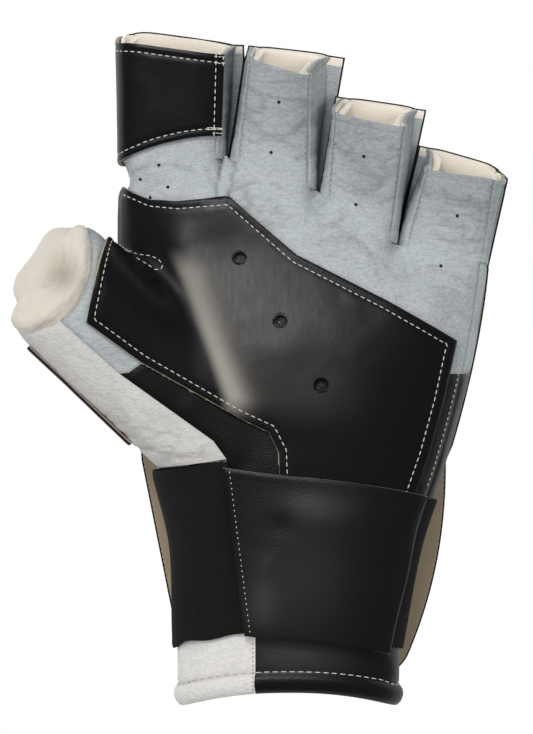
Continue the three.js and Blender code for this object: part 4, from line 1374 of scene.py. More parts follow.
class GLOVE_OT_hand_leathers(bpy.types.Operator):
    """Cuts the palm, heel, side, thumb and underside leathers from the skin of the hand"""

    bl_idname = "glove.hand_leathers"
    bl_label = "Hand leathers"

    def execute(self, context):
        skin = bpy.data.meshes["hand_skin"]
        depth = context.scene.glove_sizes.fold_depth / MM
        holes = [vent_block(centre) for centre in VENTS]
        palm_area = [(-114.0, 70.0), *KNUCKLE_LINE, (FAR, 35.0), (FAR, -1.3), *GREY_END, *THENAR_SEAM[1::-1]]
        heel_area = [
            *THENAR_SEAM[1:], (-12.0, -33.3), (-FAR, -33.3), (-FAR, CUFF_SEAM), (FAR, CUFF_SEAM), (FAR, -1.3),
            *GREY_END,
        ]
        white_area = [*THENAR_SEAM, (-24.0, -31.2), (-35.0, THENAR_END), (-FAR, THENAR_END), (-FAR, 58.7)]
        under_area = [
            (-36.0, THENAR_END), (-39.0, 5.0), (-42.0, 36.0), (-52.0, 48.0), (-52.0, 70.0), (-140.0, 70.0),
            (-140.0, THENAR_END),
        ]
        over_shell = side_block([
            (-FAR, PALM_FLOOR), (36.0, PALM_FLOOR), (36.0, BACK_Z), (FAR, BACK_Z), (FAR, FAR), (-FAR, FAR),
        ])
        grey = ["grey", "fleece", "grey"]
        black = ["black", "fleece", "dark_edge"]

        mesh = skin_patch(skin, [
            prism_mesh(palm_area), side_seam_block(-1), grey_block(1), over_shell, over_underside_or_front(),
        ], holes)
        palm = leather_patch(
            "palm_leather", mesh, palm_wrinkle(depth), 0.25, grey, ["palm_leather"],
            lambda plan: np.abs(knuckle_drop(plan)) < 0.6,
        )
        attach(palm, "hand")
        for part, area, finishes in (("palm", palm_area, grey), ("heel", heel_area, black)):
            name = f"{part}_side_wall"
            mesh = skin_patch(skin, [prism_mesh(area), side_seam_block(1), over_height(BACK_Z)])
            wall = leather_patch(name, mesh, calm_wrinkle, 0.45, finishes, [name])
            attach(wall, "hand")
        mesh = skin_patch(skin, [
            prism_mesh(heel_area), side_seam_block(-1), crease_block(), over_height(22.0),
        ], holes)
        heel = leather_patch("heel_leather", mesh, calm_wrinkle, 0.45, black, ["heel_leather"])
        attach(heel, "hand")

        for name, blocks, wrinkle, tuck, finishes, nodes in (
            (
                "thumb_white_leather", [prism_mesh(white_area), underside_block(1), behind_mouth()],
                white_wrinkle, 0.4, ["white", "fleece", "white"], ["thenar_leather", "thumb_side_leather"],
            ), (
                "thumb_grey_leather",
                [prism_mesh(palm_area), grey_block(-1, INDEX_BASE), underside_block(1), behind_mouth()],
                calm_wrinkle, 0.35, grey, ["thumb_front_leather"],
            ), (
                "thumb_underside",
                [prism_mesh(under_area), underside_block(-1), behind_mouth(), over_height(BACK_Z)],
                calm_wrinkle, 0.4, black, ["thenar_underside", "thumb_underside"],
            ),
        ):
            mesh = skin_patch(skin, [*blocks, rounded_tip_or_hand()])
            piece = leather_patch(name, mesh, wrinkle, tuck, finishes, nodes)
            bend_thumb(piece)
        self.back_strip("thumb_back_strip", 1.4, 0.75, 0.0, "black", "black_leather", ["thumb_back_strip"])
        self.back_strip("thumb_strip_backing", 0.65, 0.45, 0.6, "edge", "suede", ())
        return {"FINISHED"}

    def back_strip(self, name, offset, thickness, wider, coat, slot, nodes):
        """One layer of the strip behind the thumb: black leather, or the tan backing that shows past it."""
        angles = np.linspace(-116.0 - wider, -80.0 + wider, 26)
        start, end = [np.full(len(angles), place) for place in STRIP_ENDS]
        points, _ = form_patch(THUMB, angles, start, end, offset)
        mesh = grid_mesh(name, points)
        flat = points.reshape(-1, 3)
        away = edge_distance(mesh, 3.0)
        lift_points(mesh, flat, 0.3 * calm_wrinkle(flat) - 0.25 * (1.0 - smooth(0.0, 0.9, away)))
        set_attribute(mesh, "crease", np.zeros(len(flat)))
        obj = finish_piece(name, thicken(mesh, thickness), [coat] * 3, nodes)
        bend_thumb(obj)


def over_underside_or_front():
    """Keeps the palm leather above the thumb's underside seam, and all of it past the crotch of the thumb."""
    front = prism_mesh([(-FAR, 36.0), (FAR, 36.0), (FAR, FAR), (-FAR, FAR)], BACK_Z)
    return cut(underside_block(1), [front], "UNION")


def rounded_tip_or_hand():
    """Trims the leathers round the tip of the thumb, a little behind its lip, and nowhere else."""
    first, last, half, power = THUMB_TIP_ROUND
    outline = [(half, -FAR), (-half, -FAR)]
    for turn in np.linspace(0.0, np.pi, 33):
        across = -half * signed_power(math.cos(turn), 2 / power)
        ahead = (last - first) * signed_power(math.sin(turn), 2 / power)
        outline.append((across, first - TIP_BACK + ahead + THUMB_MOUTH_SLANT * across))
    tip = prism_mesh([on_thumb(along, THUMB_CENTRE + across, 0.0)[:2] for across, along in outline])
    return cut(tip, [crease_block()], "UNION")


def unit(vectors):
    return vectors / np.linalg.norm(vectors, axis=1)[:, None]


def inset(outline, distance):
    """An outline moved inwards, each corner along the line that keeps both of its edges parallel."""
    points = np.array(outline)
    before = unit(points - np.roll(points, 1, axis=0))
    after = unit(np.roll(points, -1, axis=0) - points)
    area = np.sum(points[:, 0] * np.roll(points[:, 1], -1) - np.roll(points[:, 0], -1) * points[:, 1])
    normal = unit((before + after)[:, ::-1] * (-1, 1))
    share = np.maximum(np.sum(normal * before[:, ::-1] * (-1, 1), axis=1), 0.4)
    return [tuple(p) for p in points + normal * (np.sign(area) * distance / share)[:, None]]


def raw_edge(out):
    """How far the raw edge of the pad shows past its face: most where it looks to the thumb and the wrist."""
    return 0.18 + 0.44 * clipped(out @ np.array([-0.7, -0.7, 0.0]))


def vent_distance(plan):
    return np.min([np.hypot(*(plan - centre).T) for centre in np.array(VENTS)], axis=0)


def rubbed_and_highlight_streak(plan):
    """The streak rubbed into the pad beside the ball of the thumb, partly wear and partly a painted highlight:
    sharp on its left, fading to its right.
    """
    line = np.array(THENAR_RIDGE)[::-1]
    middle = np.interp(plan[:, 1], line[:, 1], line[:, 0])
    aside = plan[:, 0] - middle
    left = smooth(-5.2, -0.6, aside)
    past = np.maximum(aside, 0.0)
    right = 0.9 * bell(past, 0.0, 5.2) + 0.1 * bell(past, 0.0, 24.0)
    ends = smooth(41.5, 31.0, plan[:, 1]) * smooth(-18.0, -8.0, plan[:, 1])
    return left * right * ends * mix(1.0, 0.72, smooth(-6.0, 30.0, plan[:, 1]))


class GLOVE_OT_grip_pad(bpy.types.Operator):
    """Makes the grip pad over the palm and thumb and the foam that shows in its vent holes"""

    bl_idname = "glove.grip_pad"
    bl_label = "Grip pad"

    def execute(self, context):
        skin = bpy.data.meshes["hand_skin"]
        outline = pad_outline()
        holes = [vent_block(centre) for centre in VENTS]
        mesh = skin_patch(skin, [prism_mesh(outline), crease_block(), over_height(PALM_FLOOR)], holes)
        points = coordinates(mesh)
        away = edge_distance(mesh, 6.0)
        plan = points[:, :2]
        vent = vent_distance(plan)
        lift = CLEARANCE + PAD_LEATHER + 0.55 * calm_wrinkle(points)
        border = np.where(vent < 6.0, 9.0, away)
        lift -= stitch_groove(border) + 0.3 * (1.0 - smooth(0.0, 0.9, border))
        lift += 1.1 * bell(line_distance(plan, THENAR_RIDGE), 0.0, 7.0)
        lift_points(mesh, points, lift)
        # The streak (wear and a painted highlight) and a faint rubbed ring round each vent
        set_attribute(mesh, "wear_and_highlight", clipped(rubbed_and_highlight_streak(plan) + 0.05 * bell(vent, 0.0, 11.0)))
        set_attribute(mesh, "vent", vent)
        mesh = thicken(mesh, PAD_LEATHER, lambda out: raw_edge(out) * (vent > VENT_RADIUS + 1.0))
        # The vent holes' walls take the black grip finish, not the cut edge: painted shade in the holes
        repaint(mesh, face_values(mesh, "vent") < VENT_RADIUS + 1.0, 2, 0)
        pad = finish_piece(
            "palm_grip_pad", mesh, ["grip", "suede", "edge"], ["palm_grip_pad"],
        )
        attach(pad, "hand")

        mesh = skin_patch(skin, [prism_mesh(inset(outline, 6.0)), crease_block(), over_height(PALM_FLOOR)])
        points = coordinates(mesh)
        vent = vent_distance(points[:, :2])
        lift_points(mesh, points, -LEATHER - CLEARANCE + 0.5 * smooth(VENT_RADIUS, 0.6, vent))
        foam = finish_piece("palm_foam", thicken(mesh, 1.8), ["foam"] * 3, ["palm_foam"])
        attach(foam, "hand")
        return {"FINISHED"}


class GLOVE_OT_linings(bpy.types.Operator):
    """Makes the lining of the hand and the soft lip of the thumb's mouth"""

    bl_idname = "glove.linings"
    bl_label = "Linings"

    def execute(self, context):
        skin = bpy.data.meshes["hand_skin"]
        area = [(-FAR, CUFF_SEAM), (FAR, CUFF_SEAM), (FAR, 35.0), *KNUCKLE_LINE[::-1], (-FAR, 70.0)]
        mesh = skin_patch(skin, [prism_mesh(area), crease_block(), over_height(BACK_Z)])
        sink = LEATHER + 3.4 * CLEARANCE + 1.8 * smooth(0.1, 0.6, vertex_normals(mesh)[:, 2])
        lift_points(mesh, coordinates(mesh), -sink)
        lining = finish_piece("hand_lining", thicken(mesh, 2.2), ["fleece"] * 3, ["hand_lining"])
        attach(lining, "hand")
        self.thumb_lip()
        return {"FINISHED"}

    def thumb_lip(self):
        """A sleeve inside the thumb whose puffed end all but closes the slanted mouth round a soft dent."""
        columns = 72
        angles = np.arange(columns) * 360.0 / columns
        aside = THUMB_HALF * signed_power(np.sin(np.radians(angles)), 2 / THUMB_POWER)
        mouth = np.full(columns, 68.0)
        for _ in range(4):
            height = THUMB.point(angles, mouth, -2.5)[:, 2]
            mouth = mouth_along(THUMB_CENTRE + aside, height)
        first, last, half, power = THUMB_TIP_ROUND
        tip = first + (last - first) * (1 - np.abs(aside / half) ** power) ** (1 / power)
        lip = np.minimum(mouth + THUMB_COLLAR, tip + THUMB_MOUTH_SLANT * aside)
        puff = smooth(0.5, 3.5, lip - mouth)
        rim = THUMB.point(angles, lip, -SLEEVE_DEPTH + LIP_OUTSIDE[0][1] * puff)
        dent = np.array(on_thumb(*LIP_DENT))
        ahead = np.array([*(THUMB.along * math.cos(LIP_TILT)), math.sin(LIP_TILT)])

        def cap(share):
            swell = LIP_SWELL * smooth(0.0, 0.35, share) - (LIP_SWELL + LIP_DEPTH) * smooth(0.45, 1.0, share)
            return mix(rim, dent, share) + ahead * swell

        rings = [cap(share) for share in (0.97, 0.93, 0.87, 0.78, 0.66, 0.54, 0.42, 0.3, 0.2, 0.11, 0.04)]
        for back, out in LIP_OUTSIDE:
            rings.append(THUMB.point(angles, lip - back, -SLEEVE_DEPTH + out * puff))
        for back in (46.0, 36.0, 26.0, 18.0, 12.0, 8.0):
            rings.append(THUMB.point(angles, lip - back, -SLEEVE_DEPTH - STALL_FLEECE))
        for share, wall in ((0.12, 3.4), (0.35, 3.2), (0.6, 3.0), (0.85, 2.4)):
            rings.append(cap(share) - ahead * wall)
        middle = cap(1.0)[0]
        mesh = sock_mesh("thumb_lining", np.array(rings), middle, middle - ahead * 2.2)
        mesh = modified(mesh, "SUBSURF", levels=2, render_levels=2)
        flat = coordinates(mesh)
        past = flat[:, :2] @ THUMB.along - mouth_along(flat[:, :2] @ THUMB.right, flat[:, 2])
        away = np.linalg.norm(flat - dent, axis=1)
        loose = (0.5 * smooth(-4.0, 1.0, past) * smooth(2.0, 7.0, away))[:, None]
        relax(mesh, 90, loose)
        lift_points(mesh, coordinates(mesh), 1.5 * smooth(-0.5, 3.5, past) * smooth(4.0, 10.0, away))
        relax(mesh, 24, loose)
        flat = coordinates(mesh)
        lift = 0.9 * value_noise(flat, 11.0, 101) + 0.4 * value_noise(flat, 4.5, 103)
        lift += 0.16 * value_noise(flat, 1.4, 105)
        within = np.linalg.norm((flat - dent) * (1.0, 1.0, 0.4), axis=1)
        lift_points(mesh, flat, lift * smooth(2.0, 6.0, within))
        # Painted shade, darkest at the middle of the dent
        set_attribute(mesh, "dent_shade", bell(within, 0.0, 5.5))
        sleeve = finish_piece("thumb_lining", mesh, ["thumb_fleece"], ["thumb_lining"])
        bend_thumb(sleeve)


def strap_seam_x(y):
    return on_line((STRAP_TOP[1], STRAP_TOP[0]), (STRAP_LOW[1], STRAP_LOW[0]), y)


def strap_from(y):
    return HAND.angle_at(strap_seam_x(y) - 2.0, y, STRAP_INNER)


def strap_to(y):
    return HAND.angle_at(HAND.at(y)[1] - 4.5 + 1.3 * bell(y, -66.0, 14.0), y, STRAP_INNER)


def wrist_patch(name, low, high, start, end, offset, wrinkle, thickness, finishes, slot, uv=False):
    """A panel wrapped round the wrist, between angles given along it and ends given by the share across."""
    share = spaced(110.0, 1.0)[None, :]
    along = mix(start(share), end(share), spaced(70.0, 1.0)[:, None])
    angles = mix(low(along), high(along), share)
    points = HAND.point(angles, along, offset)
    mesh = grid_mesh(name, points)
    flat = points.reshape(-1, 3)
    away = edge_distance(mesh, 5.0)
    lift = wrinkle(flat) * smooth(0.0, 3.0, away) - 0.25 * (1.0 - smooth(0.0, 0.9, away))
    lift_points(mesh, flat, lift)
    # Painted shade in the wrinkles' valleys
    set_attribute(mesh, "crease", clipped(-lift * 1.2))
    # Painted sheen, read by the strap's black leather
    set_attribute(mesh, "painted_sheen", strap_painted_sheen(flat))
    if uv:
        layer = mesh.uv_layers.new(name="UVMap")
        corner = np.zeros(len(mesh.loops), int)
        mesh.loops.foreach_get("vertex_index", corner)
        reach = np.cumsum(np.linalg.norm(np.diff(points, axis=1, prepend=points[:, :1]), axis=2), axis=1)
        where = np.stack([reach.ravel(), flat[:, 1]], axis=1)
        layer.uv.foreach_set("vector", where[corner].ravel())
    skive = (lambda out: np.full(len(out), 0.3)) if slot == "black_leather" else None
    return finish_piece(name, thicken(mesh, thickness, skive), finishes, [name])


class GLOVE_OT_wrist(bpy.types.Operator):
    """Makes the elastic, the closing strap and its fastening tapes"""

    bl_idname = "glove.wrist"
    bl_label = "Wrist"

    def execute(self, context):
        piece = wrist_patch(
            "wrist_elastic", constant(-150.0), lambda y: HAND.angle_at(strap_seam_x(y), y),
            lambda s: -92.0 + 5.0 * smooth(0.45, 1.0, s) + 0.6 * np.sin(s * 21.0),
            lambda s: THENAR_END - 0.6 + 3.4 * smooth(0.62, 1.0, s), 1.9,
            elastic_wrinkle, 1.4, ["elastic"] * 3, "webbing", uv=True,
        )
        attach(piece, "hand")
        piece = wrist_patch(
            "wrist_strap", strap_from, strap_to, lambda s: STRAP_LOW[1] - 6.5 * s,
            lambda s: STRAP_TOP[1] - 10.0 * s, STRAP_INNER + STRAP_LEATHER, strap_wrinkle, STRAP_LEATHER,
            ["black", "suede", "edge"], "black_leather",
        )
        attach(piece, "strap")
        top = CUFF_SEAM - 1.5
        low = STRAP_LOW[1] - 4.0
        piece = wrist_patch(
            "strap_loop_tape", lambda y: strap_to(y) - TAPE_SPAN, constant(118.0),
            lambda s: low + 0.5 - 3.5 * s, constant(top + 10.0), 1.3,
            lambda p: 0.1 * soft_swell(p, 5), 0.8, ["tape"] * 3, "webbing",
        )
        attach(piece, "hand")
        piece = wrist_patch(
            "strap_hook_tape", lambda y: strap_to(y) - TAPE_SPAN, lambda y: strap_to(y) - 1.5,
            constant(low + 1.5), constant(top - 1.5), 2.3, lambda p: 0.0 * p[:, 0], 0.7, ["tape"] * 3,
            "webbing",
        )
        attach(piece, "strap")
        return {"FINISHED"}


def elastic_wrinkle(points):
    return 0.45 * value_noise(points * (1.0, 0.45, 1.0), 9.0, 111)


def strap_wrinkle(points):
    x, y = points[:, 0], points[:, 1]
    swell = spot(points, (15.0, 9.0), (-46.0, 5.0))
    dent = spot(points, (6.0, 6.0), (-50.0, 5.0))
    ridge = bell(x, 1.0, 3.5) * smooth(-90.0, -82.0, y) * smooth(-58.0, -66.0, y)
    return 0.3 * value_noise(points, 17.0, 121) + 0.7 * swell - 0.6 * dent + 0.6 * ridge


def strap_painted_sheen(points):
    """The soft sheen painted on the strap: at its upper middle, beside its seam and faintly over its left half.
    """
    upper = spot(points, (16.0, 12.0), (-45.0, 5.5))
    seam = 0.75 * spot(points, (0.0, 5.5), (-76.0, 9.0))
    middle = 0.45 * spot(points, (12.0, 15.0), (-68.0, 18.0))
    dent = spot(points, (6.0, 5.0), (-49.0, 4.5))
    return clipped((upper + seam + middle) * (1.0 - 0.8 * dent))


def cuff_end(angles):
    """Where the cuff ends round the wrist: arched over the palm side, and less behind it."""
    height = np.cos(np.radians(angles))
    return CUFF_END + np.where(height > 0.0, CUFF_ARCH, CUFF_ARCH_BEHIND) * height ** 2


class GLOVE_OT_cuff(bpy.types.Operator):
    """Makes the white and black cuff panels with their rolled hem, and the cuff's lining"""

    bl_idname = "glove.cuff"
    bl_label = "Cuff"

    def execute(self, context):
        def seam(y):
            return HAND.angle_at(CUFF_SPLIT + 0.0 * y, y)

        self.panel("cuff_white_panel", constant(-160.0), seam, "white", "cuff_white")
        self.panel("cuff_black_panel", seam, constant(199.4), "black", "black")
        angles = np.arange(90) * 4.0
        rows = mix(cuff_end(angles)[None, :] + 1.2, CUFF_SEAM - 0.3, np.linspace(0.0, 1.0, 40)[:, None])
        outer = HAND.point(angles, rows, -2.0)
        inner = HAND.point(angles, rows, -4.4)
        lip = HAND.point(angles, cuff_end(angles) + 0.6, -3.2)
        rings = np.concatenate([lip[None, :], outer, inner[::-1]])
        flat = rings.reshape(-1, 3)
        mesh = closed_tube("cuff_lining", rings)
        lift_points(mesh, flat, 0.2 * value_noise(flat, 3.0, 131))
        lining = finish_piece("cuff_lining", mesh, ["fleece"], ["cuff_lining"])
        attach(lining, "hand")
        return {"FINISHED"}

    def panel(self, name, low, high, colour, coat):
        columns = spaced(110.0, 1.1)
        last = np.array(CUFF_END)
        end = cuff_end(mix(low(last), high(last), columns))[None, :]
        roll = np.radians(np.linspace(0.0, 150.0, 14)[1:, None])
        ahead = mix(CUFF_SEAM - 0.3, end + 0.8, np.linspace(0.0, 1.0, 60)[:, None])
        along = np.concatenate([ahead, end + 0.8 - CUFF_ROLL * np.sin(roll)])
        turned = np.concatenate([np.zeros((len(ahead), 1)), -CUFF_ROLL * (1.0 - np.cos(roll))])
        angles = mix(low(along), high(along), columns[None, :])
        share = (along - end) / CUFF_HEM
        hem = np.where(share < 1.0, 1.2 * np.sin(clipped(share) * np.pi), 0.0)
        points = HAND.point(angles, along, hem + turned)[::-1]
        mesh = grid_mesh(name, points)
        flat = points.reshape(-1, 3)
        away = edge_distance(mesh, 4.0)
        above = (along - end)[::-1].ravel()
        rumple = 0.5 * value_noise(flat, 11.0, 141) + 0.2 * value_noise(flat, 4.0, 143)
        lift = rumple * smooth(0.0, 3.0, away) * smooth(3.0, 12.0, above) - 0.5 * bell(above, CUFF_HEM, 0.7)
        lift_points(mesh, flat, lift)
        # Painted shade in the wrinkles' valleys and along the hem's groove
        set_attribute(mesh, "crease", clipped(-lift * 1.3))
        # Painted sheen over the black cuff panel
        if colour == "black":
            set_attribute(mesh, "painted_sheen", 0.8 * bell(flat[:, 0], 10.0, 16.0) * smooth(3.0, 9.0, above))
        obj = finish_piece(name, thicken(mesh, LEATHER), [coat, "fleece", coat], [name])
        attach(obj, "hand")


def shell_outline():
    """The outline of the stiff back: the finger bases, the sides of the hand and the wrist tongue."""
    steps = []
    for name, size in FINGERS.items():
        form = FORMS[name]
        for side in (-1, 1):
            corner = [np.array(value) for value in (side * size.width / 2, -STALL_GAP, 0.0)]
            steps.append(tuple(form.place(*corner)[:2]))
    start, end, left, right, corner = TONGUE
    down = 1 - (1 - np.linspace(0.0, 1.0, 41)) ** 1.6
    y = mix(start, end, down)
    under = np.maximum(corner - (y - end), 0.0)
    rounded = corner - np.sqrt(corner ** 2 - under ** 2)
    right_side = list(zip(right - 17.0 * down ** 2.2 - rounded, y))
    left_side = list(zip(left + 15.0 * down + rounded, y))[::-1]
    upper_right = [(HAND.at(np.array(y))[1] + 1.6, y) for y in np.linspace(steps[7][1], -30.0, 16)[:-1]]
    upper_left = []
    for y in np.linspace(5.0, steps[0][1], 34)[:-1]:
        drawn = 3.4 * math.exp(-((y - 64.0) / 5.5) ** 2)
        upper_left.append((HAND.at(np.array(y))[0] - 1.2 + drawn, y))
    return [*steps, *upper_right, *right_side, *left_side, *upper_left]


class GLOVE_OT_back_shell(bpy.types.Operator):
    """Makes the stiff back with its wrist tongue and the suede that lines it"""

    bl_idname = "glove.back_shell"
    bl_label = "Back shell"

    def execute(self, context):
        outline = shell_outline()
        shell = self.plate("back_shell", outline, *SHELL_LAYER, 0.5)
        shell = finish_piece("back_shell", shell, ["black"], ["back_shell"])
        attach(shell, "hand")
        suede = self.plate("shell_suede", inset(outline, 0.7), *SUEDE_LAYER, 0.2)
        suede = finish_piece("shell_suede", suede, ["suede"], ["shell_suede"])
        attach(suede, "hand")
        return {"FINISHED"}

    def plate(self, name, outline, low, high, round_over):
        mesh = prism_mesh(outline, low, high)
        mesh.name = name
        return modified(
            mesh, "BEVEL", width=round_over * MM, segments=3, limit_method="ANGLE",
            angle_limit=math.radians(50.0),
        )


# Stitches and perforations

class RepeatTree(Nodes):
    """Geometry nodes that set one small shaped ball on every point, in a material."""

    def __init__(self, name, sizes, coat):
        super().__init__(bpy.data.node_groups.new(name, "GeometryNodeTree"))
        face = self.tree.interface
        face.new_socket("Geometry", in_out="INPUT", socket_type="NodeSocketGeometry")
        for size in sizes:
            face.new_socket(size, in_out="INPUT", socket_type="NodeSocketFloat")
        face.new_socket(coat, in_out="INPUT", socket_type="NodeSocketMaterial")
        face.new_socket("Geometry", in_out="OUTPUT", socket_type="NodeSocketGeometry")
        self.given = self.add("NodeGroupInput").outputs
        self.coat = self.given[coat]
        surface = self.add("GeometryNodeInputNamedAttribute", {"Name": "surface"}, data_type="FLOAT_VECTOR")
        self.surface = surface.outputs["Attribute"]

    def aligned(self, vector, **settings):
        return self.add("FunctionNodeAlignRotationToVector", {"Vector": vector}, **settings)

    def repeat(self, points, segments, rings, scale, turn):
        ball = self.add("GeometryNodeMeshUVSphere", {"Segments": segments, "Rings": rings, "Radius": 0.5})
        size = self.add("ShaderNodeCombineXYZ", dict(zip("XYZ", scale)))
        inputs = {"Geometry": ball.outputs["Mesh"], "Scale": size.outputs["Vector"]}
        shaped = self.add("GeometryNodeTransform", inputs).outputs["Geometry"]
        inputs = {"Points": points, "Instance": shaped, "Rotation": turn.outputs["Rotation"]}
        each = self.add("GeometryNodeInstanceOnPoints", inputs).outputs["Instances"]
        real = self.add("GeometryNodeRealizeInstances", {"Geometry": each}).outputs["Geometry"]
        coated = self.add("GeometryNodeSetMaterial", {"Geometry": real, "Material": self.coat})
        self.add("NodeGroupOutput", {"Geometry": coated.outputs["Geometry"]})
        return self.tree


def stitch_tree():
    """Thread laid along paths: one short rounded stitch at every pitch, turned to its path and surface."""
    tree = RepeatTree("thread_stitches", ("Pitch", "Stitch Length", "Thread Width"), "Thread")
    given = tree.given
    curve = tree.add("GeometryNodeMeshToCurve", {"Mesh": given["Geometry"]}).outputs["Curve"]
    inputs = {"Curve": curve, "Length": given["Pitch"]}
    evenly = tree.add("GeometryNodeResampleCurve", inputs, mode="LENGTH").outputs["Curve"]
    lengthwise = tree.aligned(tree.add("GeometryNodeInputTangent").outputs["Tangent"], axis="X")
    upright = tree.aligned(tree.surface, axis="Z", pivot_axis="X")
    tree.feed(upright.inputs["Rotation"], lengthwise.outputs["Rotation"])
    size = [given[name] for name in ("Stitch Length", "Thread Width", "Thread Width")]
    return tree.repeat(evenly, 8, 5, size, upright)


def perforation_tree():
    """A small sunk disc at every point, turned to the surface there."""
    tree = RepeatTree("leather_perforations", ("Diameter",), "Shadow")
    wide = tree.given["Diameter"]
    flat = tree.add("ShaderNodeMath", {0: wide, 1: 0.22}, operation="MULTIPLY").outputs[0]
    upright = tree.aligned(tree.surface, axis="Z")
    return tree.repeat(tree.given["Geometry"], 14, 6, (wide, wide, flat), upright)


def run_tree(mesh, tree, values):
    """The plain mesh that a tree of nodes makes from a mesh of paths or points."""
    obj = scratch_object(mesh)
    nodes = obj.modifiers.new(tree.name, "NODES")
    nodes.node_group = tree
    for item in tree.interface.items_tree:
        if item.in_out == "INPUT" and item.name in values:
            nodes[item.identifier] = values[item.name]
    return take_mesh(obj)


class Surface:
    """The outside of some pieces, found by looking down at plan points or from a nearby point."""

    def __init__(self, *names):
        points = []
        faces = []
        for name in names:
            mesh = PIECES[name].data
            shift = len(points)
            points += [v.co.copy() for v in mesh.vertices]
            faces += [[i + shift for i in p.vertices] for p in mesh.polygons]
        self.tree = BVHTree.FromPolygons(points, faces)

    def under(self, x, y):
        return self.tree.ray_cast(Vector((x * MM, y * MM, 0.2)), Vector((0, 0, -1)))[:2]

    def nearest(self, point):
        return self.tree.find_nearest(Vector(point) * MM)[:2]

    def row_under(self, line, step=1.0):
        return [self.under(*p) for p in sampled(line, step)]

    def row_near(self, points):
        return [self.nearest(p) for p in points]


def sampled(line, step):
    """Plan points along a broken line, closer than a step."""
    points = []
    for a, b in zip(line[:-1], line[1:]):
        count = max(2, int(math.dist(a, b) / step) + 1)
        points += [tuple(mix(np.array(a), np.array(b), i / count)) for i in range(count)]
    return [*points, line[-1]]


def path_mesh(name, paths, lift):
    """Edges along paths of surface points, with the surface's direction at each."""
    points = []
    edges = []
    normals = []
    for path in paths:
        kept = [hit for hit in path if hit[0] is not None]
        for i, (place, normal) in enumerate(kept):
            if i:
                edges.append((len(points) - 1, len(points)))
            points.append(place + normal * lift * MM)
            normals.append(normal)
    mesh = bpy.data.meshes.new(name)
    mesh.from_pydata([tuple(p) for p in points], edges, [])
    layer = mesh.attributes.new("surface", "FLOAT_VECTOR", "POINT")
    layer.data.foreach_set("vector", np.array([tuple(n) for n in normals], np.float32).ravel())
    return mesh


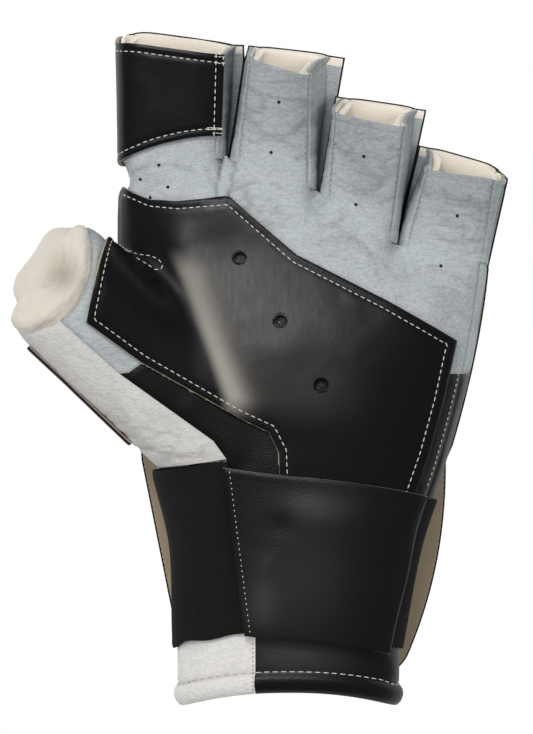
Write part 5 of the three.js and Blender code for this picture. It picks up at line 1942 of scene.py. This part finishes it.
class GLOVE_OT_stitching(bpy.types.Operator):
    """Sews the visible rows of stitches along the pad, patch, fingers, strap, hem and back"""

    bl_idname = "glove.stitching"
    bl_label = "Stitching"

    def execute(self, context):
        self.sizes = context.scene.glove_sizes
        self.tree = stitch_tree()
        self.pad()
        self.index_patch()
        self.finger_rims()
        self.wrist()
        self.back()
        return {"FINISHED"}

    def sew(self, name, paths, thread, slot, pitch=1.0, length=1.0, width=1.0):
        sizes = self.sizes
        mesh = run_tree(path_mesh(name, paths, 0.05), self.tree, {
            "Pitch": sizes.stitch_pitch * pitch, "Stitch Length": sizes.stitch_length * length,
            "Thread Width": sizes.thread_width * width, "Thread": FINISHES[thread],
        })
        return finish_piece(name, mesh, [thread])

    def pad(self):
        cover = Surface("palm_grip_pad")
        line = inset(pad_outline(), STITCH_INSET)
        low = len(PAD_EDGE) + 3
        upper = cover.row_under(line[2:low + 1])
        lower = cover.row_under([*line[low + 1:], (-54.5, 19.0), (-51.6, 34.0), (-49.8, 43.2)])
        dart = [(-49.3, 42.9), (-46.0, 40.5), (-42.0, 38.6), (-37.3, 38.0), (-34.6, 36.7), (-33.3, 34.8)]
        dart += [(-33.9, 33.4), (-35.3, 33.3), (-38.0, 34.8), (-41.5, 37.0)]
        paths = [upper, lower, cover.row_under(dart, 0.6)]
        piece = self.sew("pad_stitches", paths, "thread", "grip_leather")
        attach(piece, "hand")
        grey = Surface("thumb_grey_leather")
        hem = grey.row_under([(-46.6, 0.0), (-44.0, 0.4), (-42.0, 1.8), (-40.6, 3.0)], 0.5)
        piece = self.sew("thumb_hem_stitches", [hem], "thread", "grey_leather", 0.7, 0.7, 0.8)
        bend_thumb(piece)
        side = Surface("heel_leather", "heel_side_wall", "palm_leather", "palm_side_wall")
        rows = np.linspace(-1.5, -38.0, 30)
        seam = [side.under(float(HAND.at(np.array(y))[1]) - 4.6, y) for y in rows]
        seam = [hit for hit in seam if hit[0] is not None and hit[0].z > 15.0 * MM]
        piece = self.sew("heel_stitches", [seam], "thread", "black_leather", 0.8, 0.55)
        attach(piece, "hand")

    def index_patch(self):
        cover = Surface("index_grip_patch")
        form = FORMS["index"]
        size = FINGERS["index"]
        angles = np.linspace(-112.0, 42.0, 60)
        across = np.linspace(PATCH_ROW, 43.0, 8)
        right = np.array(PATCH_ROW)
        low = float(patch_low(size, right)) + STITCH_INSET
        high = float(rim_end(size, right))

        def row(turn, along):
            return cover.row_near(form.point(turn, along, 2.1))

        paths = [
            row(angles, patch_low(size, angles) + STITCH_INSET), row(angles, rim_end(size, angles) - 2.6),
            row(right, np.linspace(low - 1.8, high - 0.5, 24)),
        ]
        piece = self.sew("index_patch_stitches", paths, "thread", "grip_leather")
        bend_finger(piece, "index")
        bar = np.linspace(PATCH_ROW - 8.0, 43.0, 12)
        tacks = [row(across, rim_end(size, across) - 0.7), row(across, rim_end(size, across) - 2.9)]
        tacks.append(row(np.array(43.0), np.linspace(high - 3.1, high - 1.2, 6)))
        tacks += [row(bar, patch_low(size, bar) + rise) for rise in (2.2, 2.6)]
        tacks.append(row(across, patch_low(size, across) + 0.9))
        piece = self.sew("index_bar_tacks", tacks, "thread", "grip_leather", 0.45, 0.7)
        bend_finger(piece, "index")

    def finger_rims(self):
        for name in ("middle", "ring", "little"):
            form = FORMS[name]
            size = FINGERS[name]
            cover = Surface(f"{name}_front_leather")
            angles = np.linspace(-41.0, 41.0, 30)
            rim = cover.row_near(form.point(angles, rim_end(size, angles) - HEM_ROW, 0.5))
            piece = self.sew(f"{name}_hem_stitches", [rim], "pale_thread", "grey_leather", 0.8, 0.6, 0.9)
            bend_finger(piece, name)
            paths = []
            for angle in (-37.0, 37.0):
                ends = np.linspace(10.0, float(rim_end(size, np.array(angle))) - 2.6, 24)
                paths.append(cover.row_near(form.point(angle, ends, 0.5)))
            piece = self.sew(f"{name}_stitches", paths, "grey_thread", "grey_leather", 0.75, 0.6, 0.75)
            bend_finger(piece, name)

    def wrist(self):
        cover = Surface("wrist_strap")
        rows = np.linspace(-33.5, -85.5, 40)
        seam = [cover.under(float(strap_seam_x(y)) - 0.6, y) for y in rows]
        piece = self.sew("strap_stitches", [seam], "thread", "black_leather", 0.78, 0.38, 0.85)
        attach(piece, "strap")
        seam = float(HAND.angle_at(np.array(CUFF_SPLIT), np.array(CUFF_END + CUFF_HEM)))
        for colour, low, high, thread in (
            ("white", -150.0, seam - 1.5, "pale_thread"), ("black", seam + 1.5, 190.0, "thread"),
        ):
            name = f"cuff_{colour}_panel"
            angles = np.linspace(low, high, 120)
            row = Surface(name).row_near(HAND.point(angles, cuff_end(angles) + CUFF_HEM, 0.3))
            piece = self.sew(f"{name}_stitches", [row], thread, f"{colour}_leather", 1.2, 1.25)
            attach(piece, "hand")
        cover = Surface("cuff_white_panel")
        seam = [cover.under(-3.3, y) for y in np.linspace(-90.0, CUFF_END + CUFF_ARCH + 0.6, 30)]
        piece = self.sew("cuff_seam_stitches", [seam], "tan_thread", "white_leather", 0.6, 0.4)
        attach(piece, "hand")

    def back(self):
        cover = Surface("back_shell")
        paths = []
        for margin, z in ((0.7, SHELL_LAYER[1]), (2.6, SHELL_LAYER[0])):
            line = sampled(inset(shell_outline(), margin)[8:], 1.0)
            paths.append(cover.row_near([(x, y, z) for x, y in line]))
        piece = self.sew("back_stitches", paths, "thread", "black_leather", 0.8, 0.6, 0.7)
        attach(piece, "hand")


class GLOVE_OT_perforations(bpy.types.Operator):
    """Punches the small air holes in the grey leather"""

    bl_idname = "glove.perforations"
    bl_label = "Perforations"

    def execute(self, context):
        tree = perforation_tree()
        places = {
            "palm_leather": [(-34.7, 68.3), (-41.0, 63.7), (-31.7, 61.0), (-37.7, 57.6), (59.3, 34.7)],
            "middle_front_leather": [(5.3, 89.0), (2.7, 72.3)],
            "ring_front_leather": [(33.5, 71.0), (30.9, 55.0)],
            "little_front_leather": [(64.7, 51.3)],
        }
        for cover, spots in places.items():
            name = cover.split("_")[0]
            surface = Surface(cover)
            mesh = path_mesh(f"{name}_perforations", [[surface.under(*place)] for place in spots], 0.02)
            made = run_tree(mesh, tree, {
                "Diameter": context.scene.glove_sizes.perforation, "Shadow": FINISHES["hole"],
            })
            piece = finish_piece(f"{name}_perforations", made, ["hole"])
            if name == "palm":
                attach(piece, "hand")
            else:
                bend_finger(piece, name)
        return {"FINISHED"}


class GLOVE_OT_stage(bpy.types.Operator):
    """Sets the floor, the soft lights and the camera that looks straight down at the palm"""

    bl_idname = "glove.stage"
    bl_label = "Studio"

    def execute(self, context):
        scene = context.scene
        stage = scene.glove_stage
        self.floor()
        self.world(scene)
        self.light("key", (-0.16, 0.58, 0.95), (0.4, 0.3), stage.key_power * 0.6)
        self.light("left", (-0.7, 0.1, 0.9), (0.5, 0.8), stage.key_power * 0.7, False)
        self.light("right", (0.75, -0.1, 0.9), (0.6, 0.8), stage.key_power * 0.5, False)
        camera = bpy.data.objects.new("camera", bpy.data.cameras.new("camera"))
        scene.collection.objects.link(camera)
        camera.location = (*VIEW_CENTRE, stage.camera_height)
        camera.data.lens = camera.data.sensor_width * (stage.camera_height - VIEW_PLANE) / stage.view_length
        camera.data.clip_start = 0.05
        scene.camera = camera
        scene.view_settings.view_transform = "Standard"
        return {"FINISHED"}

    def floor(self):
        mesh = bpy.data.meshes.new("floor")
        corners = [(x * FLOOR_HALF, y * FLOOR_HALF, FLOOR_Z) for x, y in ((-1, -1), (1, -1), (1, 1), (-1, 1))]
        mesh.from_pydata(corners, [], [(0, 1, 2, 3)])
        floor = bpy.data.objects.new("floor", mesh)
        bpy.context.scene.collection.objects.link(floor)
        material = bpy.data.materials.new("white_table")
        material.use_nodes = True
        nodes = Nodes(material.node_tree)
        shader = nodes.tree.nodes["Principled BSDF"]
        shader.inputs["Base Color"].default_value = (0.9, 0.9, 0.9, 1.0)
        shader.inputs["Roughness"].default_value = 0.9
        seen = nodes.add("ShaderNodeMixShader", {
            "Fac": nodes.add("ShaderNodeLightPath").outputs["Is Camera Ray"], 1: shader.outputs["BSDF"],
            2: nodes.add("ShaderNodeEmission", {"Strength": 1.0}).outputs["Emission"],
        })
        nodes.feed(nodes.tree.nodes["Material Output"].inputs["Surface"], seen.outputs["Shader"])
        mesh.materials.append(material)

    def world(self, scene):
        world = bpy.data.worlds.new("studio")
        scene.world = world
        world.use_nodes = True
        nodes = Nodes(world.node_tree)
        rays = nodes.add("ShaderNodeLightPath")
        shader = nodes.tree.nodes["Background"]
        shader.inputs["Color"].default_value = (0.95, 0.97, 1.0, 1.0)
        shader.inputs["Strength"].default_value = 0.34
        for ray, strength in (("Is Glossy Ray", 0.1), ("Is Camera Ray", 1.0)):
            other = nodes.add("ShaderNodeBackground", {"Strength": strength})
            shader = nodes.add("ShaderNodeMixShader", {
                "Fac": rays.outputs[ray], 1: shader.outputs[0], 2: other.outputs["Background"],
            })
        nodes.feed(nodes.tree.nodes["World Output"].inputs["Surface"], shader.outputs[0])

    def light(self, name, place, size, power, mirrored=True):
        lamp = bpy.data.lights.new(name, "AREA")
        lamp.shape = "RECTANGLE"
        lamp.size, lamp.size_y = size
        lamp.energy = power
        obj = bpy.data.objects.new(name, lamp)
        bpy.context.scene.collection.objects.link(obj)
        obj.visible_glossy = mirrored
        obj.location = place
        obj.rotation_euler = (Vector((0, 0, 0.02)) - Vector(place)).to_track_quat("-Z", "Y").to_euler()


class GLOVE_PT_panel(bpy.types.Panel):
    """Lists the making steps and what can be changed in them"""

    bl_idname = "GLOVE_PT_panel"
    bl_label = "Glove"
    bl_space_type = "VIEW_3D"
    bl_region_type = "UI"
    bl_category = "Glove"

    def draw(self, context):
        layout = self.layout
        for step in STEPS:
            layout.operator(step.bl_idname)
        for group in (context.scene.glove_sizes, context.scene.glove_colours, context.scene.glove_stage):
            box = layout.box()
            for name in group.__annotations__:
                box.prop(group, name)


STEPS = (
    GLOVE_OT_finger_stalls, GLOVE_OT_hand_leathers, GLOVE_OT_grip_pad, GLOVE_OT_linings, GLOVE_OT_wrist,
    GLOVE_OT_cuff, GLOVE_OT_back_shell, GLOVE_OT_stitching, GLOVE_OT_perforations, GLOVE_OT_stage,
)
CLASSES = (GloveColours, GloveSizes, GloveStage, *STEPS, GLOVE_PT_panel)


def register():
    for kind in CLASSES:
        bpy.utils.register_class(kind)
    bpy.types.Scene.glove_colours = PointerProperty(type=GloveColours)
    bpy.types.Scene.glove_sizes = PointerProperty(type=GloveSizes)
    bpy.types.Scene.glove_stage = PointerProperty(type=GloveStage)


def unregister():
    del bpy.types.Scene.glove_stage
    del bpy.types.Scene.glove_sizes
    del bpy.types.Scene.glove_colours
    for kind in reversed(CLASSES):
        bpy.utils.unregister_class(kind)


def main():
    register()
    make_finishes(bpy.context.scene.glove_colours)
    hand_skin().name = "hand_skin"
    bpy.ops.glove.finger_stalls()
    bpy.ops.glove.hand_leathers()
    bpy.ops.glove.grip_pad()
    bpy.ops.glove.linings()
    bpy.ops.glove.wrist()
    bpy.ops.glove.cuff()
    bpy.ops.glove.back_shell()
    bpy.ops.glove.stitching()
    bpy.ops.glove.perforations()
    bpy.ops.glove.stage()


if __name__ == "__main__":
    main()
